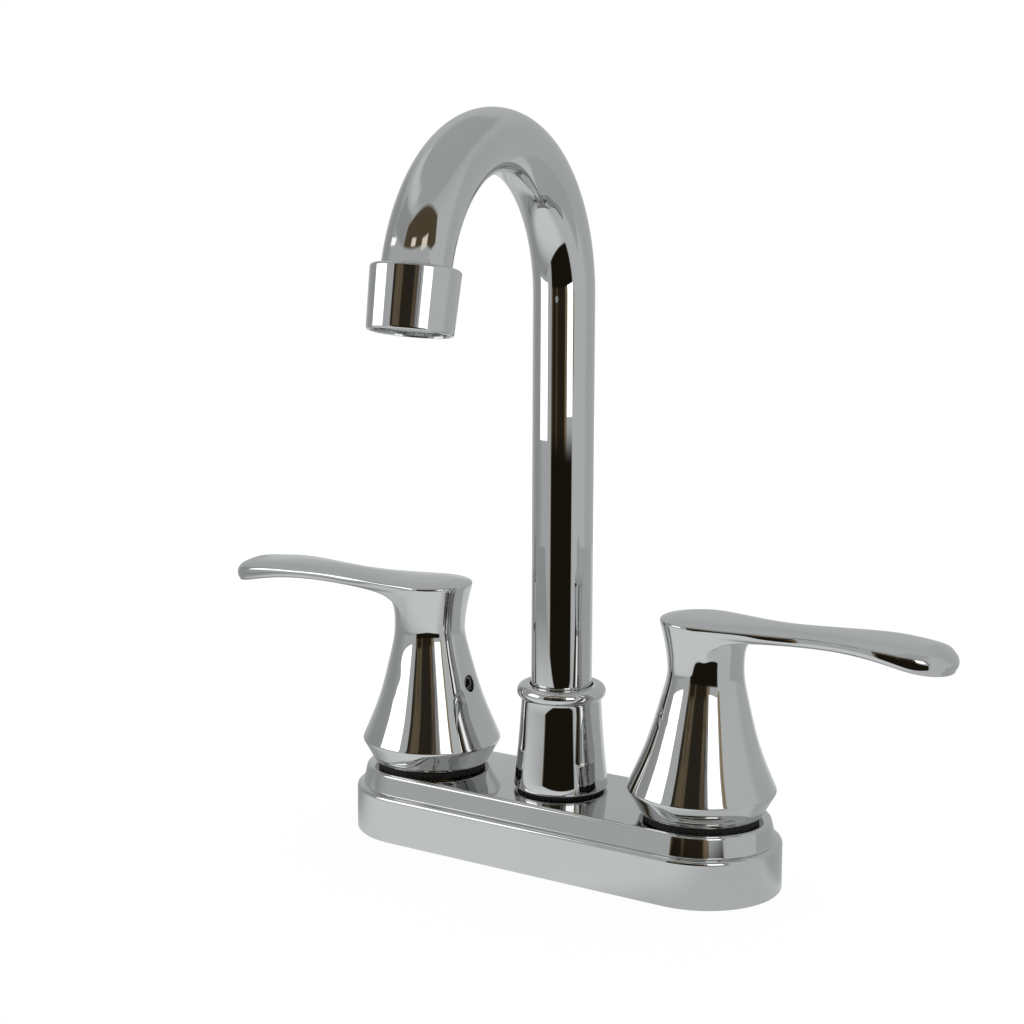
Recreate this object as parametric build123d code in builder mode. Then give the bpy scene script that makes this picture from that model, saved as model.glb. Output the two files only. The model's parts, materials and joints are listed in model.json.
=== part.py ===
from build123d import *

import os
from math import cos, radians, sin, sqrt

# Bathroom sink faucet with two lever handles and a high swivel spout.
# Millimetres, +Z up. X runs along the base and the user stands on the -Y side.
# The origin lies on the deck, on the axis that the spout turns about.

os.makedirs("parts", exist_ok=True)

# Fits
thread_play = 0.05
running_play = 0.05
face_play = 0.05
loose_play = 0.3
match_tolerance = 0.01

# Base plate and deck
valve_spacing = 101.6
base_end_radius = 25.1
base_step_width = 2.1
base_step_height = 15.2
base_height = 21.7
base_wall = 2.0
base_top_round = 2.0
shoulder_land = 0.3
gasket_thickness = 1.5
deck_thickness = 20.0

# Water body: two valve barrels, a cross tube and a centre boss
barrel_radius = 13.5
barrel_bore_radius = 9.0
barrel_rise = 6.3
barrel_flange_width = 3.5
barrel_flange_thickness = 2.5
cross_tube_radius = 5.4
cross_bore_radius = 3.6
boss_radius = 14.5
boss_floor = 2.2
seat_web = 1.0
seat_hole_radius = 5.5
way_drop = 1.3

# Inlet shanks and their nuts
shank_radius = 10.6
shank_length = 50.0
shank_bore_radius = 6.4
shank_spigot_radius = 8.5
shank_chamfer = 1.0
washer_radius = 19.0
washer_thickness = 2.0
nut_across_flats = 32.0
nut_thickness = 8.0
nut_chamfer = 1.2

# Cartridges
seal_thickness = 1.8
seal_radius = 6.9
seal_hole_radius = 5.0
disc_thickness = 2.6
disc_radius = 6.9
disc_port_radius = 3.9
disc_port_width = 2.6
disc_port_angle = 70.0
cartridge_wall = 1.75
cartridge_waist = 1.0
window_height = 3.2
window_width = 9.0
hex_across_flats = 20.0
hex_height = 6.0
gland_radius = 6.5
gland_height = 6.0
ring_section = 1.4
ring_squeeze = 0.05
groove_side = 0.2
stem_radius = 4.0
stem_flat_depth = 0.8
stem_flat_start = 2.0
driver_width = 4.0
driver_gap = 0.35
driver_recess = 0.8
driver_flange_thickness = 0.9
clip_thickness = 0.8
clip_radius = 6.0
clip_groove_depth = 0.6

# Lock nuts and black rings on top of the base
lock_nut_radius = 16.6
lock_nut_thickness = 4.0
lock_notch_width = 3.0
lock_notch_depth = 1.4
glide_ring_radius = 17.9
glide_ring_hole_radius = 16.9
glide_ring_height = 1.3
glide_ring_groove = 0.3

# Handle hub
handle_gap = 0.3
hub_foot_radius = 19.2
hub_crest_radius = 23.3
hub_crest_height = 6.7
hub_crest_round = 0.9
hub_flank_radius = 17.6
hub_flank_height = 20.7
hub_waist_radius = 13.5
hub_waist_height = 34.7
hub_neck_radius = 11.75
hub_neck_height = 47.2
hub_throat_radius = 12.8
hub_throat_height = 59.1
hub_rim_radius = 13.6
hub_cavity_radius = 17.35
hub_cavity_straight = 7.7
hub_cavity_top_radius = 13.2
hub_cavity_height = 19.7
stem_socket_depth = 17.5
set_screw_height = 27.2
set_screw_radius = 2.9
set_screw_length = 8.0
set_screw_key = 3.0
set_screw_key_depth = 3.0

# Lever, seen from above and from the side
hot_lever_turn = 1.5
cold_lever_turn = 2.0
lever_reach = 80.0
lever_tip_radius = 12.6
lever_shoulder_half_width = 12.8
lever_waist_distance = 30.0
lever_waist_half_width = 9.2
lever_hub_angle = 75.0
lever_shoulder_back = 7.4
lever_top_height = 61.9
lever_dome_radius = 110.0
lever_neck_crown_radius = 56.0
lever_crown_radius = 38.0
lever_heel_drop = 0.8
lever_root_thickness = 3.9
lever_neck_drop = 0.3
lever_neck_thickness = 4.4
lever_waist_drop = 0.2
lever_waist_thickness = 4.5
lever_middle_rise = 0.4
lever_middle_thickness = 4.7
lever_crest_rise = 0.65
lever_crest_thickness = 5.75
lever_tip_drop = 0.9
lever_tip_thickness = 7.0
lever_end_drop = 4.1
lever_end_thickness = 4.9
lever_trim_margin = 3.0
lever_trim_depth = 30.0
lever_top_round = 0.9
lever_under_round = 1.1
lever_web_radius = 6.3
lever_web_half_width = 8.6
lever_web_end_sag = 0.2

# Spout
spout_height = 237.45
spout_swing = 5.9
tube_radius = 9.75
tube_wall = 1.0
bend_radius = 47.7
bend_angle = 168.6
tail_length = 4.05
socket_radius = 11.4
socket_bore_radius = 8.45
socket_insert = 5.7
socket_rise = 12.3
sleeve_bore_radius = 5.5
sleeve_spigot_length = 18.0
sleeve_ring_depth = 7.0
sleeve_ring_pitch = 7.0
sleeve_body_length = 8.0
sleeve_neck_length = 6.0
wear_ring_thickness = 1.9
snap_ring_height = 2.0
snap_ring_thickness = 1.8
snap_ring_depth = 0.9
snap_ring_gap = 6.0

# Spout collar
collar_gasket_thickness = 0.8
collar_gasket_radius = 14.0
collar_foot_radius = 15.2
collar_neck_radius = 12.8
collar_bead_radius = 14.3
collar_bead_height = 4.8
collar_height = 33.6
collar_foot_round = 0.8
collar_lip_play = 0.35

# Aerator
ferrule_thread_radius = 10.9
ferrule_length = 8.4
ferrule_lip = 1.2
ferrule_relief = 0.3
aerator_lap = 7.56
aerator_length = 18.0
aerator_top_radius = 12.67
aerator_bottom_radius = 12.07
aerator_edge_round = 0.8
aerator_lip = 1.0
aerator_mouth_radius = 10.0
aerator_gasket_thickness = 1.6
aerator_gasket_hole_radius = 8.2
screen_thickness = 0.9
screen_pitch = 2.3
screen_hole = 1.7
screen_margin = 1.9
insert_wall = 1.4
insert_plate_thickness = 1.5
insert_jet_radius = 0.7
insert_jet_count = 12

# Heights that the pieces share
base_ceiling = base_height - base_wall
upper_end_radius = base_end_radius - base_step_width
barrel_top = base_height + barrel_rise
barrel_bottom = gasket_thickness + loose_play
cross_axis_height = base_ceiling - loose_play - cross_tube_radius
window_low = cross_axis_height + way_drop
rotor_top = window_low - driver_gap
rotor_low = rotor_top - disc_thickness
stator_low = rotor_low - face_play - disc_thickness
seat_height = stator_low - seal_thickness
shank_socket_top = seat_height - seat_web
chamber_low = cross_axis_height - cross_bore_radius
socket_low = base_ceiling - socket_insert
socket_top = base_height + socket_rise
wear_ring_top = socket_top + wear_ring_thickness
handle_bottom = base_height + glide_ring_height + handle_gap
cartridge_top = barrel_top + hex_height + gland_height
stem_hub_floor = handle_bottom + hub_cavity_height
stem_top = stem_hub_floor + stem_socket_depth - loose_play
lever_top = handle_bottom + lever_top_height
valve_positions = [(-valve_spacing / 2, 0), (valve_spacing / 2, 0)]


def ring_profile(ring_centre_radius, height):
    """Draw the round section of a sealing ring in a sketch whose Y points up."""
    with Locations((ring_centre_radius, height)):
        Circle(ring_section / 2)


# Stepped cover plate: a shell that is open below
with BuildPart() as base_plate:
    with BuildSketch():
        SlotCenterToCenter(valve_spacing, 2 * base_end_radius)
    extrude(amount=base_step_height)
    step_face = base_plate.faces().sort_by(Axis.Z)[-1]
    fillet(step_face.edges(), base_step_width - shoulder_land)
    with BuildSketch(Plane.XY.offset(base_step_height)):
        SlotCenterToCenter(valve_spacing, 2 * upper_end_radius)
    extrude(amount=base_height - base_step_height)
    top_face = base_plate.faces().sort_by(Axis.Z)[-1]
    fillet(top_face.edges(), base_top_round)
    with BuildSketch():
        SlotCenterToCenter(valve_spacing, 2 * (base_end_radius - base_wall))
    extrude(amount=base_step_height - base_wall, mode=Mode.SUBTRACT)
    with BuildSketch():
        SlotCenterToCenter(valve_spacing, 2 * (upper_end_radius - base_wall))
    extrude(amount=base_ceiling, mode=Mode.SUBTRACT)
    with BuildSketch(Plane.XY.offset(base_ceiling)):
        with Locations(*valve_positions):
            Circle(barrel_radius + loose_play)
        Circle(socket_radius + loose_play)
    extrude(amount=base_wall, mode=Mode.SUBTRACT)
base_plate.part.label = "base_plate"
export_step(base_plate.part, "parts/base_plate.step")

# Soft plate between the cover and the deck
with BuildPart() as base_gasket:
    with BuildSketch():
        SlotCenterToCenter(valve_spacing, 2 * (base_end_radius - base_wall - loose_play))
        with Locations(*valve_positions):
            Circle(shank_radius + loose_play, mode=Mode.SUBTRACT)
    extrude(amount=gasket_thickness)
base_gasket.part.label = "base_gasket"
export_step(base_gasket.part, "parts/base_gasket.step")

# Cast water body: barrels, cross tube, boss, and the ways bored through them
with BuildPart() as water_body:
    with BuildSketch(Plane.XY.offset(barrel_bottom)):
        with Locations(*valve_positions):
            Circle(barrel_radius)
    extrude(amount=barrel_top - barrel_bottom)
    with BuildSketch(Plane.XY.offset(base_ceiling - barrel_flange_thickness)):
        with Locations(*valve_positions):
            Circle(barrel_radius + barrel_flange_width)
    extrude(amount=barrel_flange_thickness)
    with BuildSketch(Plane.XY.offset(chamber_low - boss_floor)):
        Circle(boss_radius)
    extrude(amount=base_ceiling - chamber_low + boss_floor)
    with BuildSketch(Plane.YZ):
        with Locations((0, cross_axis_height)):
            Circle(cross_tube_radius)
    extrude(amount=valve_spacing / 2, both=True)
    with BuildSketch(Plane.XY.offset(seat_height)):
        with Locations(*valve_positions):
            Circle(barrel_bore_radius)
    extrude(amount=barrel_top - seat_height, mode=Mode.SUBTRACT)
    with BuildSketch(Plane.XY.offset(barrel_bottom)):
        with Locations(*valve_positions):
            Circle(shank_spigot_radius + thread_play)
    extrude(amount=shank_socket_top - barrel_bottom, mode=Mode.SUBTRACT)
    with BuildSketch(Plane.XY.offset(shank_socket_top)):
        with Locations(*valve_positions):
            Circle(seat_hole_radius)
    extrude(amount=seat_web, mode=Mode.SUBTRACT)
    with BuildSketch(Plane.XY.offset(chamber_low)):
        Circle(socket_bore_radius)
    extrude(amount=socket_low - chamber_low, mode=Mode.SUBTRACT)
    with BuildSketch(Plane.XY.offset(socket_low)):
        Circle(socket_radius + thread_play)
    extrude(amount=socket_insert, mode=Mode.SUBTRACT)
    with BuildSketch(Plane.YZ):
        with Locations((0, cross_axis_height)):
            Circle(cross_bore_radius)
    extrude(amount=valve_spacing / 2, both=True, mode=Mode.SUBTRACT)
water_body.part.label = "water_body"
export_step(water_body.part, "parts/water_body.step")

# Everything that stands on a valve axis, for the hot side and the cold side
for side, place, turn in (
    ("hot", -valve_spacing / 2, 180 + hot_lever_turn),
    ("cold", valve_spacing / 2, cold_lever_turn),
):
    lever_direction = Vector(cos(radians(turn)), sin(radians(turn)), 0)
    valve = Plane(origin=(place, 0, 0), x_dir=lever_direction, z_dir=(0, 0, 1))
    upright = Plane(origin=valve.origin, x_dir=valve.x_dir, z_dir=-valve.y_dir)
    valve_axis = Axis(valve.origin, valve.z_dir)

    # Threaded inlet shank, screwed into the barrel from below
    with BuildPart() as shank:
        with BuildSketch(valve.offset(-shank_length)):
            Circle(shank_radius)
        extrude(amount=shank_length + barrel_bottom)
        chamfer(shank.faces().sort_by(Axis.Z)[0].edges(), shank_chamfer)
        with BuildSketch(valve.offset(barrel_bottom)):
            Circle(shank_spigot_radius)
        extrude(amount=shank_socket_top - barrel_bottom - face_play)
        with BuildSketch(valve.offset(-shank_length)):
            Circle(shank_bore_radius)
        extrude(amount=shank_length + shank_socket_top, mode=Mode.SUBTRACT)
    shank.part.label = f"{side}_shank"
    export_step(shank.part, f"parts/{side}_shank.step")

    # Washer that bears on the underside of the deck
    with BuildPart() as deck_washer:
        with BuildSketch(valve.offset(-deck_thickness - washer_thickness)):
            Circle(washer_radius)
            Circle(shank_radius + loose_play, mode=Mode.SUBTRACT)
        extrude(amount=washer_thickness)
    deck_washer.part.label = f"{side}_deck_washer"
    export_step(deck_washer.part, f"parts/{side}_deck_washer.step")

    # Nut that clamps the faucet to the deck
    nut_low = -deck_thickness - washer_thickness - nut_thickness
    with BuildPart() as mounting_nut:
        with BuildSketch(valve.offset(nut_low)):
            RegularPolygon(nut_across_flats / 2, 6, major_radius=False)
        extrude(amount=nut_thickness)
        with BuildSketch(upright):
            with BuildLine():
                nut_corner = nut_across_flats / sqrt(3)
                Polyline(
                    (nut_corner - nut_chamfer, nut_low),
                    (nut_corner, nut_low + nut_chamfer),
                    (nut_corner, nut_low),
                    close=True,
                )
            make_face()
        revolve(axis=valve_axis, mode=Mode.SUBTRACT)
        with BuildSketch(valve.offset(nut_low)):
            Circle(shank_radius + thread_play)
        extrude(amount=nut_thickness, mode=Mode.SUBTRACT)
    mounting_nut.part.label = f"{side}_mounting_nut"
    export_step(mounting_nut.part, f"parts/{side}_mounting_nut.step")

    # Rubber seal under the fixed ceramic disc
    with BuildPart() as seat_seal:
        with BuildSketch(valve.offset(seat_height)):
            Circle(seal_radius)
            Circle(seal_hole_radius, mode=Mode.SUBTRACT)
        extrude(amount=seal_thickness)
    seat_seal.part.label = f"{side}_seat_seal"
    export_step(seat_seal.part, f"parts/{side}_seat_seal.step")

    # Fixed ceramic disc with two ports
    with BuildPart() as fixed_disc:
        with BuildSketch(valve.offset(stator_low)):
            Circle(disc_radius)
            for middle in (90, 270):
                first = middle - disc_port_angle / 2
                port = CenterArc((0, 0), disc_port_radius, first, disc_port_angle, mode=Mode.PRIVATE)
                SlotArc(port, disc_port_width, mode=Mode.SUBTRACT)
        extrude(amount=disc_thickness)
    fixed_disc.part.label = f"{side}_fixed_disc"
    export_step(fixed_disc.part, f"parts/{side}_fixed_disc.step")

    # Turning ceramic disc: its ports stand crosswise while the valve is shut
    with BuildPart() as turning_disc:
        with BuildSketch(valve.offset(rotor_low)):
            Circle(disc_radius)
            for middle in (0, 180):
                first = middle - disc_port_angle / 2
                port = CenterArc((0, 0), disc_port_radius, first, disc_port_angle, mode=Mode.PRIVATE)
                SlotArc(port, disc_port_width, mode=Mode.SUBTRACT)
        extrude(amount=disc_thickness)
        with BuildSketch(valve.offset(rotor_top - driver_recess)):
            Rectangle(driver_width + 2 * running_play, 2 * disc_radius)
        extrude(amount=driver_recess, mode=Mode.SUBTRACT)
    turning_disc.part.label = f"{side}_turning_disc"
    export_step(turning_disc.part, f"parts/{side}_turning_disc.step")

    # Brass cartridge housing that screws into the barrel and carries the stem
    housing_radius = barrel_bore_radius - thread_play
    housing_cavity_radius = housing_radius - cartridge_wall
    housing_low = seat_height + loose_play
    window_top = window_low + window_height
    groove_low = window_top + 2 * ring_section
    stem_groove_radius = stem_radius + running_play - ring_section - ring_squeeze
    with BuildPart() as cartridge:
        with BuildSketch(valve.offset(housing_low)):
            Circle(housing_radius)
        extrude(amount=barrel_top - housing_low)
        with BuildSketch(valve.offset(barrel_top)):
            RegularPolygon(hex_across_flats / 2, 6, major_radius=False)
        extrude(amount=hex_height)
        with BuildSketch(valve.offset(barrel_top + hex_height)):
            Circle(gland_radius)
        extrude(amount=gland_height)
        with BuildSketch(valve.offset(rotor_low)):
            Circle(housing_radius)
            Circle(housing_radius - cartridge_waist, mode=Mode.SUBTRACT)
        extrude(amount=window_top - rotor_low, mode=Mode.SUBTRACT)
        with BuildSketch(valve.offset(groove_low)):
            Circle(housing_radius)
            Circle(housing_radius - ring_section, mode=Mode.SUBTRACT)
        extrude(amount=ring_section + groove_side, mode=Mode.SUBTRACT)
        with BuildSketch(valve.offset(housing_low)):
            Circle(housing_cavity_radius)
        extrude(amount=window_top + loose_play - housing_low, mode=Mode.SUBTRACT)
        with BuildSketch(valve.offset(housing_low)):
            Circle(stem_radius + running_play)
        extrude(amount=cartridge_top - housing_low, mode=Mode.SUBTRACT)
        with BuildSketch(upright):
            with Locations((0, window_low + window_height / 2)):
                Rectangle(window_width, window_height)
        extrude(amount=housing_radius, both=True, mode=Mode.SUBTRACT)
    cartridge.part.label = f"{side}_cartridge"
    export_step(cartridge.part, f"parts/{side}_cartridge.step")

    # Sealing ring round the housing
    with BuildPart() as housing_ring:
        with BuildSketch(upright):
            ring_profile(housing_radius - ring_section / 2, groove_low + (ring_section + groove_side) / 2)
        revolve(axis=valve_axis)
    housing_ring.part.label = f"{side}_housing_ring"
    export_step(housing_ring.part, f"parts/{side}_housing_ring.step")

    # Stem: driver blade, flange, ring groove, clip groove and a flat for the set screw
    stem_ring_height = barrel_top + hex_height / 2
    clip_low = cartridge_top + loose_play
    flat_distance = stem_radius - stem_flat_depth
    with BuildPart() as stem:
        with BuildSketch(valve.offset(rotor_top - driver_recess + face_play)):
            Circle(disc_radius)
            Rectangle(driver_width, 2 * disc_radius, mode=Mode.INTERSECT)
        extrude(amount=window_top - driver_flange_thickness - rotor_top + driver_recess)
        with BuildSketch(valve.offset(window_top - driver_flange_thickness)):
            Circle(disc_radius)
        extrude(amount=driver_flange_thickness)
        with BuildSketch(valve.offset(window_top)):
            Circle(stem_radius)
        extrude(amount=stem_top - window_top)
        with BuildSketch(valve.offset(stem_ring_height - ring_section / 2 - groove_side)):
            Circle(stem_radius)
            Circle(stem_groove_radius, mode=Mode.SUBTRACT)
        extrude(amount=ring_section + 2 * groove_side, mode=Mode.SUBTRACT)
        with BuildSketch(valve.offset(clip_low)):
            Circle(stem_radius)
            Circle(stem_radius - clip_groove_depth, mode=Mode.SUBTRACT)
        extrude(amount=clip_thickness, mode=Mode.SUBTRACT)
        with BuildSketch(valve.offset(clip_low + stem_flat_start)):
            with Locations((-flat_distance - stem_radius, 0)):
                Rectangle(2 * stem_radius, 2 * stem_radius)
        extrude(amount=stem_top - clip_low, mode=Mode.SUBTRACT)
    stem.part.label = f"{side}_stem"
    export_step(stem.part, f"parts/{side}_stem.step")

    # Sealing ring in the stem's groove
    with BuildPart() as stem_ring:
        with BuildSketch(upright):
            ring_profile(stem_groove_radius + ring_section / 2, stem_ring_height)
        revolve(axis=valve_axis)
    stem_ring.part.label = f"{side}_stem_ring"
    export_step(stem_ring.part, f"parts/{side}_stem_ring.step")

    # Open clip that keeps the stem in the housing
    with BuildPart() as stem_clip:
        with BuildSketch(valve.offset(clip_low)):
            Circle(clip_radius)
            Circle(stem_radius - clip_groove_depth + face_play, mode=Mode.SUBTRACT)
            with Locations((clip_radius / 2, 0)):
                Rectangle(clip_radius, stem_radius, mode=Mode.SUBTRACT)
        extrude(amount=clip_thickness)
    stem_clip.part.label = f"{side}_stem_clip"
    export_step(stem_clip.part, f"parts/{side}_stem_clip.step")

    # Notched nut that holds the cover plate down on the barrel's flange
    with BuildPart() as lock_nut:
        with BuildSketch(valve.offset(base_height)):
            Circle(lock_nut_radius)
            Circle(barrel_radius + thread_play, mode=Mode.SUBTRACT)
            with PolarLocations(lock_nut_radius, 4):
                Rectangle(2 * lock_notch_depth, lock_notch_width, mode=Mode.SUBTRACT)
        extrude(amount=lock_nut_thickness)
    lock_nut.part.label = f"{side}_lock_nut"
    export_step(lock_nut.part, f"parts/{side}_lock_nut.step")

    # Black ring that fills the gap between the plate and the handle
    with BuildPart() as glide_ring:
        with BuildSketch(valve.offset(base_height)):
            Circle(glide_ring_radius)
            Circle(glide_ring_hole_radius, mode=Mode.SUBTRACT)
        extrude(amount=glide_ring_height)
        chamfer(glide_ring.edges().group_by(Axis.Z)[-1], glide_ring_groove)
    glide_ring.part.label = f"{side}_glide_ring"
    export_step(glide_ring.part, f"parts/{side}_glide_ring.step")

    # Lever blade: a crowned strip that droops to its end, trimmed to its outline from above
    tip_centre = lever_reach - lever_tip_radius
    crest_distance = tip_centre - lever_shoulder_back
    middle_distance = (lever_waist_distance + crest_distance) / 2
    strip_half_width = lever_shoulder_half_width + lever_trim_margin
    hub_side = radians(lever_hub_angle)
    with BuildPart() as handle:
        for distance, rise, thickness, crown in (
            (-strip_half_width, -lever_heel_drop, lever_root_thickness - lever_heel_drop, lever_dome_radius),
            (0, 0, lever_root_thickness, lever_dome_radius),
            (hub_rim_radius, -lever_neck_drop, lever_neck_thickness, lever_neck_crown_radius),
            (lever_waist_distance, -lever_waist_drop, lever_waist_thickness, lever_crown_radius),
            (middle_distance, lever_middle_rise, lever_middle_thickness, lever_crown_radius),
            (crest_distance, lever_crest_rise, lever_crest_thickness, lever_crown_radius),
            (tip_centre + lever_tip_radius / 2, -lever_tip_drop, lever_tip_thickness, lever_crown_radius),
            (lever_reach + lever_trim_margin, -lever_end_drop, lever_end_thickness, lever_crown_radius),
        ):
            station = Plane(
                origin=valve.from_local_coords((distance, 0, 0)), x_dir=valve.y_dir, z_dir=valve.x_dir
            )
            height = lever_top + rise
            edge_height = height - crown + sqrt(crown**2 - strip_half_width**2)
            with BuildSketch(station):
                with BuildLine():
                    ThreePointArc(
                        (-strip_half_width, edge_height), (0, height), (strip_half_width, edge_height)
                    )
                    Polyline(
                        (strip_half_width, edge_height),
                        (strip_half_width, height - thickness),
                        (-strip_half_width, height - thickness),
                        (-strip_half_width, edge_height),
                    )
                make_face()
        loft()
        with BuildSketch(valve.offset(lever_top)):
            with BuildLine():
                CenterArc((0, 0), hub_rim_radius, lever_hub_angle, 360 - 2 * lever_hub_angle)
                ThreePointArc(
                    (tip_centre, lever_tip_radius), (lever_reach, 0), (tip_centre, -lever_tip_radius)
                )
                for flank in (1, -1):
                    Spline(
                        (hub_rim_radius * cos(hub_side), flank * hub_rim_radius * sin(hub_side)),
                        (lever_waist_distance, flank * lever_waist_half_width),
                        (crest_distance, flank * lever_shoulder_half_width),
                        (tip_centre, flank * lever_tip_radius),
                        tangents=[(sin(hub_side), -flank * cos(hub_side)), (1, 0)],
                    )
            make_face()
        extrude(amount=lever_trim_depth, both=True, mode=Mode.INTERSECT)
        lever_sides = handle.faces().sort_by(SortBy.AREA)[-2:].sort_by(Axis.Z)
        fillet(lever_sides[1].edges(), lever_top_round)
        lever_sides = handle.faces().sort_by(SortBy.AREA)[-2:].sort_by(Axis.Z)
        fillet(lever_sides[0].edges(), lever_under_round)

        # Web that carries the lever's underside down into the hub's neck
        web_depth = lever_waist_thickness / 2
        pivot_height = lever_top - lever_waist_drop - lever_waist_thickness - lever_web_radius
        pivot_distance = hub_neck_radius + lever_web_radius
        neck_chord = sqrt(hub_neck_radius**2 - lever_web_half_width**2)
        pivot = valve.from_local_coords((pivot_distance, 0, pivot_height))
        neck_sag = hub_neck_radius - neck_chord
        for lift, sag in ((0, neck_sag), (45, neck_sag / 2), (90, lever_web_end_sag)):
            outward = valve.x_dir * -cos(radians(lift)) + valve.z_dir * sin(radians(lift))
            fan = Plane(origin=pivot, x_dir=valve.y_dir, z_dir=valve.y_dir.cross(outward))
            near = lever_web_radius
            far = lever_web_radius + sag + web_depth
            with BuildSketch(fan):
                with BuildLine():
                    ThreePointArc(
                        (-lever_web_half_width, near + sag), (0, near), (lever_web_half_width, near + sag)
                    )
                    Polyline(
                        (lever_web_half_width, near + sag),
                        (lever_web_half_width, far),
                        (-lever_web_half_width, far),
                        (-lever_web_half_width, near + sag),
                    )
                make_face()
        loft()

        # Flared hub, turned about the valve axis
        with BuildSketch(upright):
            with BuildLine():
                Polyline(
                    (0, handle_bottom + hub_throat_height),
                    (0, handle_bottom),
                    (hub_foot_radius, handle_bottom),
                    (hub_crest_radius, handle_bottom + hub_crest_height),
                )
                Spline(
                    (hub_crest_radius, handle_bottom + hub_crest_height),
                    (hub_flank_radius, handle_bottom + hub_flank_height),
                    (hub_waist_radius, handle_bottom + hub_waist_height),
                    (hub_neck_radius, handle_bottom + hub_neck_height),
                    (hub_throat_radius, handle_bottom + hub_throat_height),
                )
                Line(
                    (hub_throat_radius, handle_bottom + hub_throat_height),
                    (0, handle_bottom + hub_throat_height),
                )
            make_face()
        revolve(axis=valve_axis)
        crest_edges = [
            edge for edge in handle.edges().filter_by(GeomType.CIRCLE)
            if abs(edge.radius - hub_crest_radius) < match_tolerance
        ]
        fillet(crest_edges, hub_crest_round)

        # Cavity over the lock nut and the housing, and the stem's D-shaped socket
        with BuildSketch(upright):
            Polygon(
                (0, handle_bottom),
                (hub_cavity_radius, handle_bottom),
                (hub_cavity_radius, handle_bottom + hub_cavity_straight),
                (hub_cavity_top_radius, stem_hub_floor),
                (0, stem_hub_floor),
                align=None,
            )
        revolve(axis=valve_axis, mode=Mode.SUBTRACT)
        with BuildSketch(valve.offset(stem_hub_floor)):
            Circle(stem_radius + running_play)
            with Locations((-flat_distance - stem_radius - running_play, 0)):
                Rectangle(2 * stem_radius, 4 * stem_radius, mode=Mode.SUBTRACT)
        extrude(amount=stem_socket_depth, mode=Mode.SUBTRACT)
        screw_plane = Plane(
            origin=valve.from_local_coords((0, 0, handle_bottom + set_screw_height)),
            x_dir=valve.y_dir,
            z_dir=-valve.x_dir,
        )
        with BuildSketch(screw_plane):
            Circle(set_screw_radius + thread_play)
        extrude(amount=hub_crest_radius, mode=Mode.SUBTRACT)
    handle.part.label = f"{side}_handle"
    export_step(handle.part, f"parts/{side}_handle.step")

    # Socket-head set screw that bears on the stem's flat
    with BuildPart() as set_screw:
        with BuildSketch(screw_plane.offset(flat_distance + face_play)):
            Circle(set_screw_radius)
        extrude(amount=set_screw_length)
        with BuildSketch(screw_plane.offset(flat_distance + face_play + set_screw_length)):
            RegularPolygon(set_screw_key / 2, 6, major_radius=False)
        extrude(amount=-set_screw_key_depth, mode=Mode.SUBTRACT)
    set_screw.part.label = f"{side}_set_screw"
    export_step(set_screw.part, f"parts/{side}_set_screw.step")

# Brass socket that the spout turns in, screwed into the boss
with BuildPart() as spout_socket:
    with BuildSketch(Plane.XY.offset(socket_low)):
        Circle(socket_radius)
        Circle(socket_bore_radius, mode=Mode.SUBTRACT)
    extrude(amount=socket_top - socket_low)
spout_socket.part.label = "spout_socket"
export_step(spout_socket.part, "parts/spout_socket.step")

# Plastic ring that the spout rests and turns on
with BuildPart() as wear_ring:
    with BuildSketch(Plane.XY.offset(socket_top)):
        Circle(socket_radius)
        Circle(socket_bore_radius, mode=Mode.SUBTRACT)
    extrude(amount=wear_ring_thickness)
wear_ring.part.label = "wear_ring"
export_step(wear_ring.part, "parts/wear_ring.step")

# Thin washer between the collar and the plate
with BuildPart() as collar_gasket:
    with BuildSketch(Plane.XY.offset(base_height)):
        Circle(collar_gasket_radius)
        Circle(socket_radius + loose_play, mode=Mode.SUBTRACT)
    extrude(amount=collar_gasket_thickness)
collar_gasket.part.label = "collar_gasket"
export_step(collar_gasket.part, "parts/collar_gasket.step")

# Tapered collar with a bead, screwed on the socket; its shoulder holds the spout down
collar_low = base_height + collar_gasket_thickness
collar_top = collar_low + collar_height
sleeve_shoulder = wear_ring_top + face_play
snap_ring_low = sleeve_shoulder + snap_ring_height
collar_shoulder = snap_ring_low + snap_ring_thickness + loose_play
bead_low = collar_top - collar_bead_height
bead_round = collar_bead_height / 2
with BuildPart() as spout_collar:
    with BuildSketch(Plane.XZ):
        with BuildLine():
            Polyline(
                (collar_bead_radius - bead_round, collar_top),
                (tube_radius + collar_lip_play, collar_top),
                (tube_radius + collar_lip_play, collar_shoulder),
                (socket_radius + thread_play, collar_shoulder),
                (socket_radius + thread_play, collar_low),
                (collar_foot_radius - collar_foot_round, collar_low),
            )
            RadiusArc(
                (collar_foot_radius - collar_foot_round, collar_low),
                (collar_foot_radius, collar_low + collar_foot_round),
                -collar_foot_round,
            )
            Polyline(
                (collar_foot_radius, collar_low + collar_foot_round),
                (collar_neck_radius, bead_low),
                (collar_bead_radius - bead_round, bead_low),
            )
            ThreePointArc(
                (collar_bead_radius - bead_round, bead_low),
                (collar_bead_radius, collar_top - bead_round),
                (collar_bead_radius - bead_round, collar_top),
            )
        make_face()
    revolve(axis=Axis.Z)
spout_collar.part.label = "spout_collar"
export_step(spout_collar.part, "parts/spout_collar.step")

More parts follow.
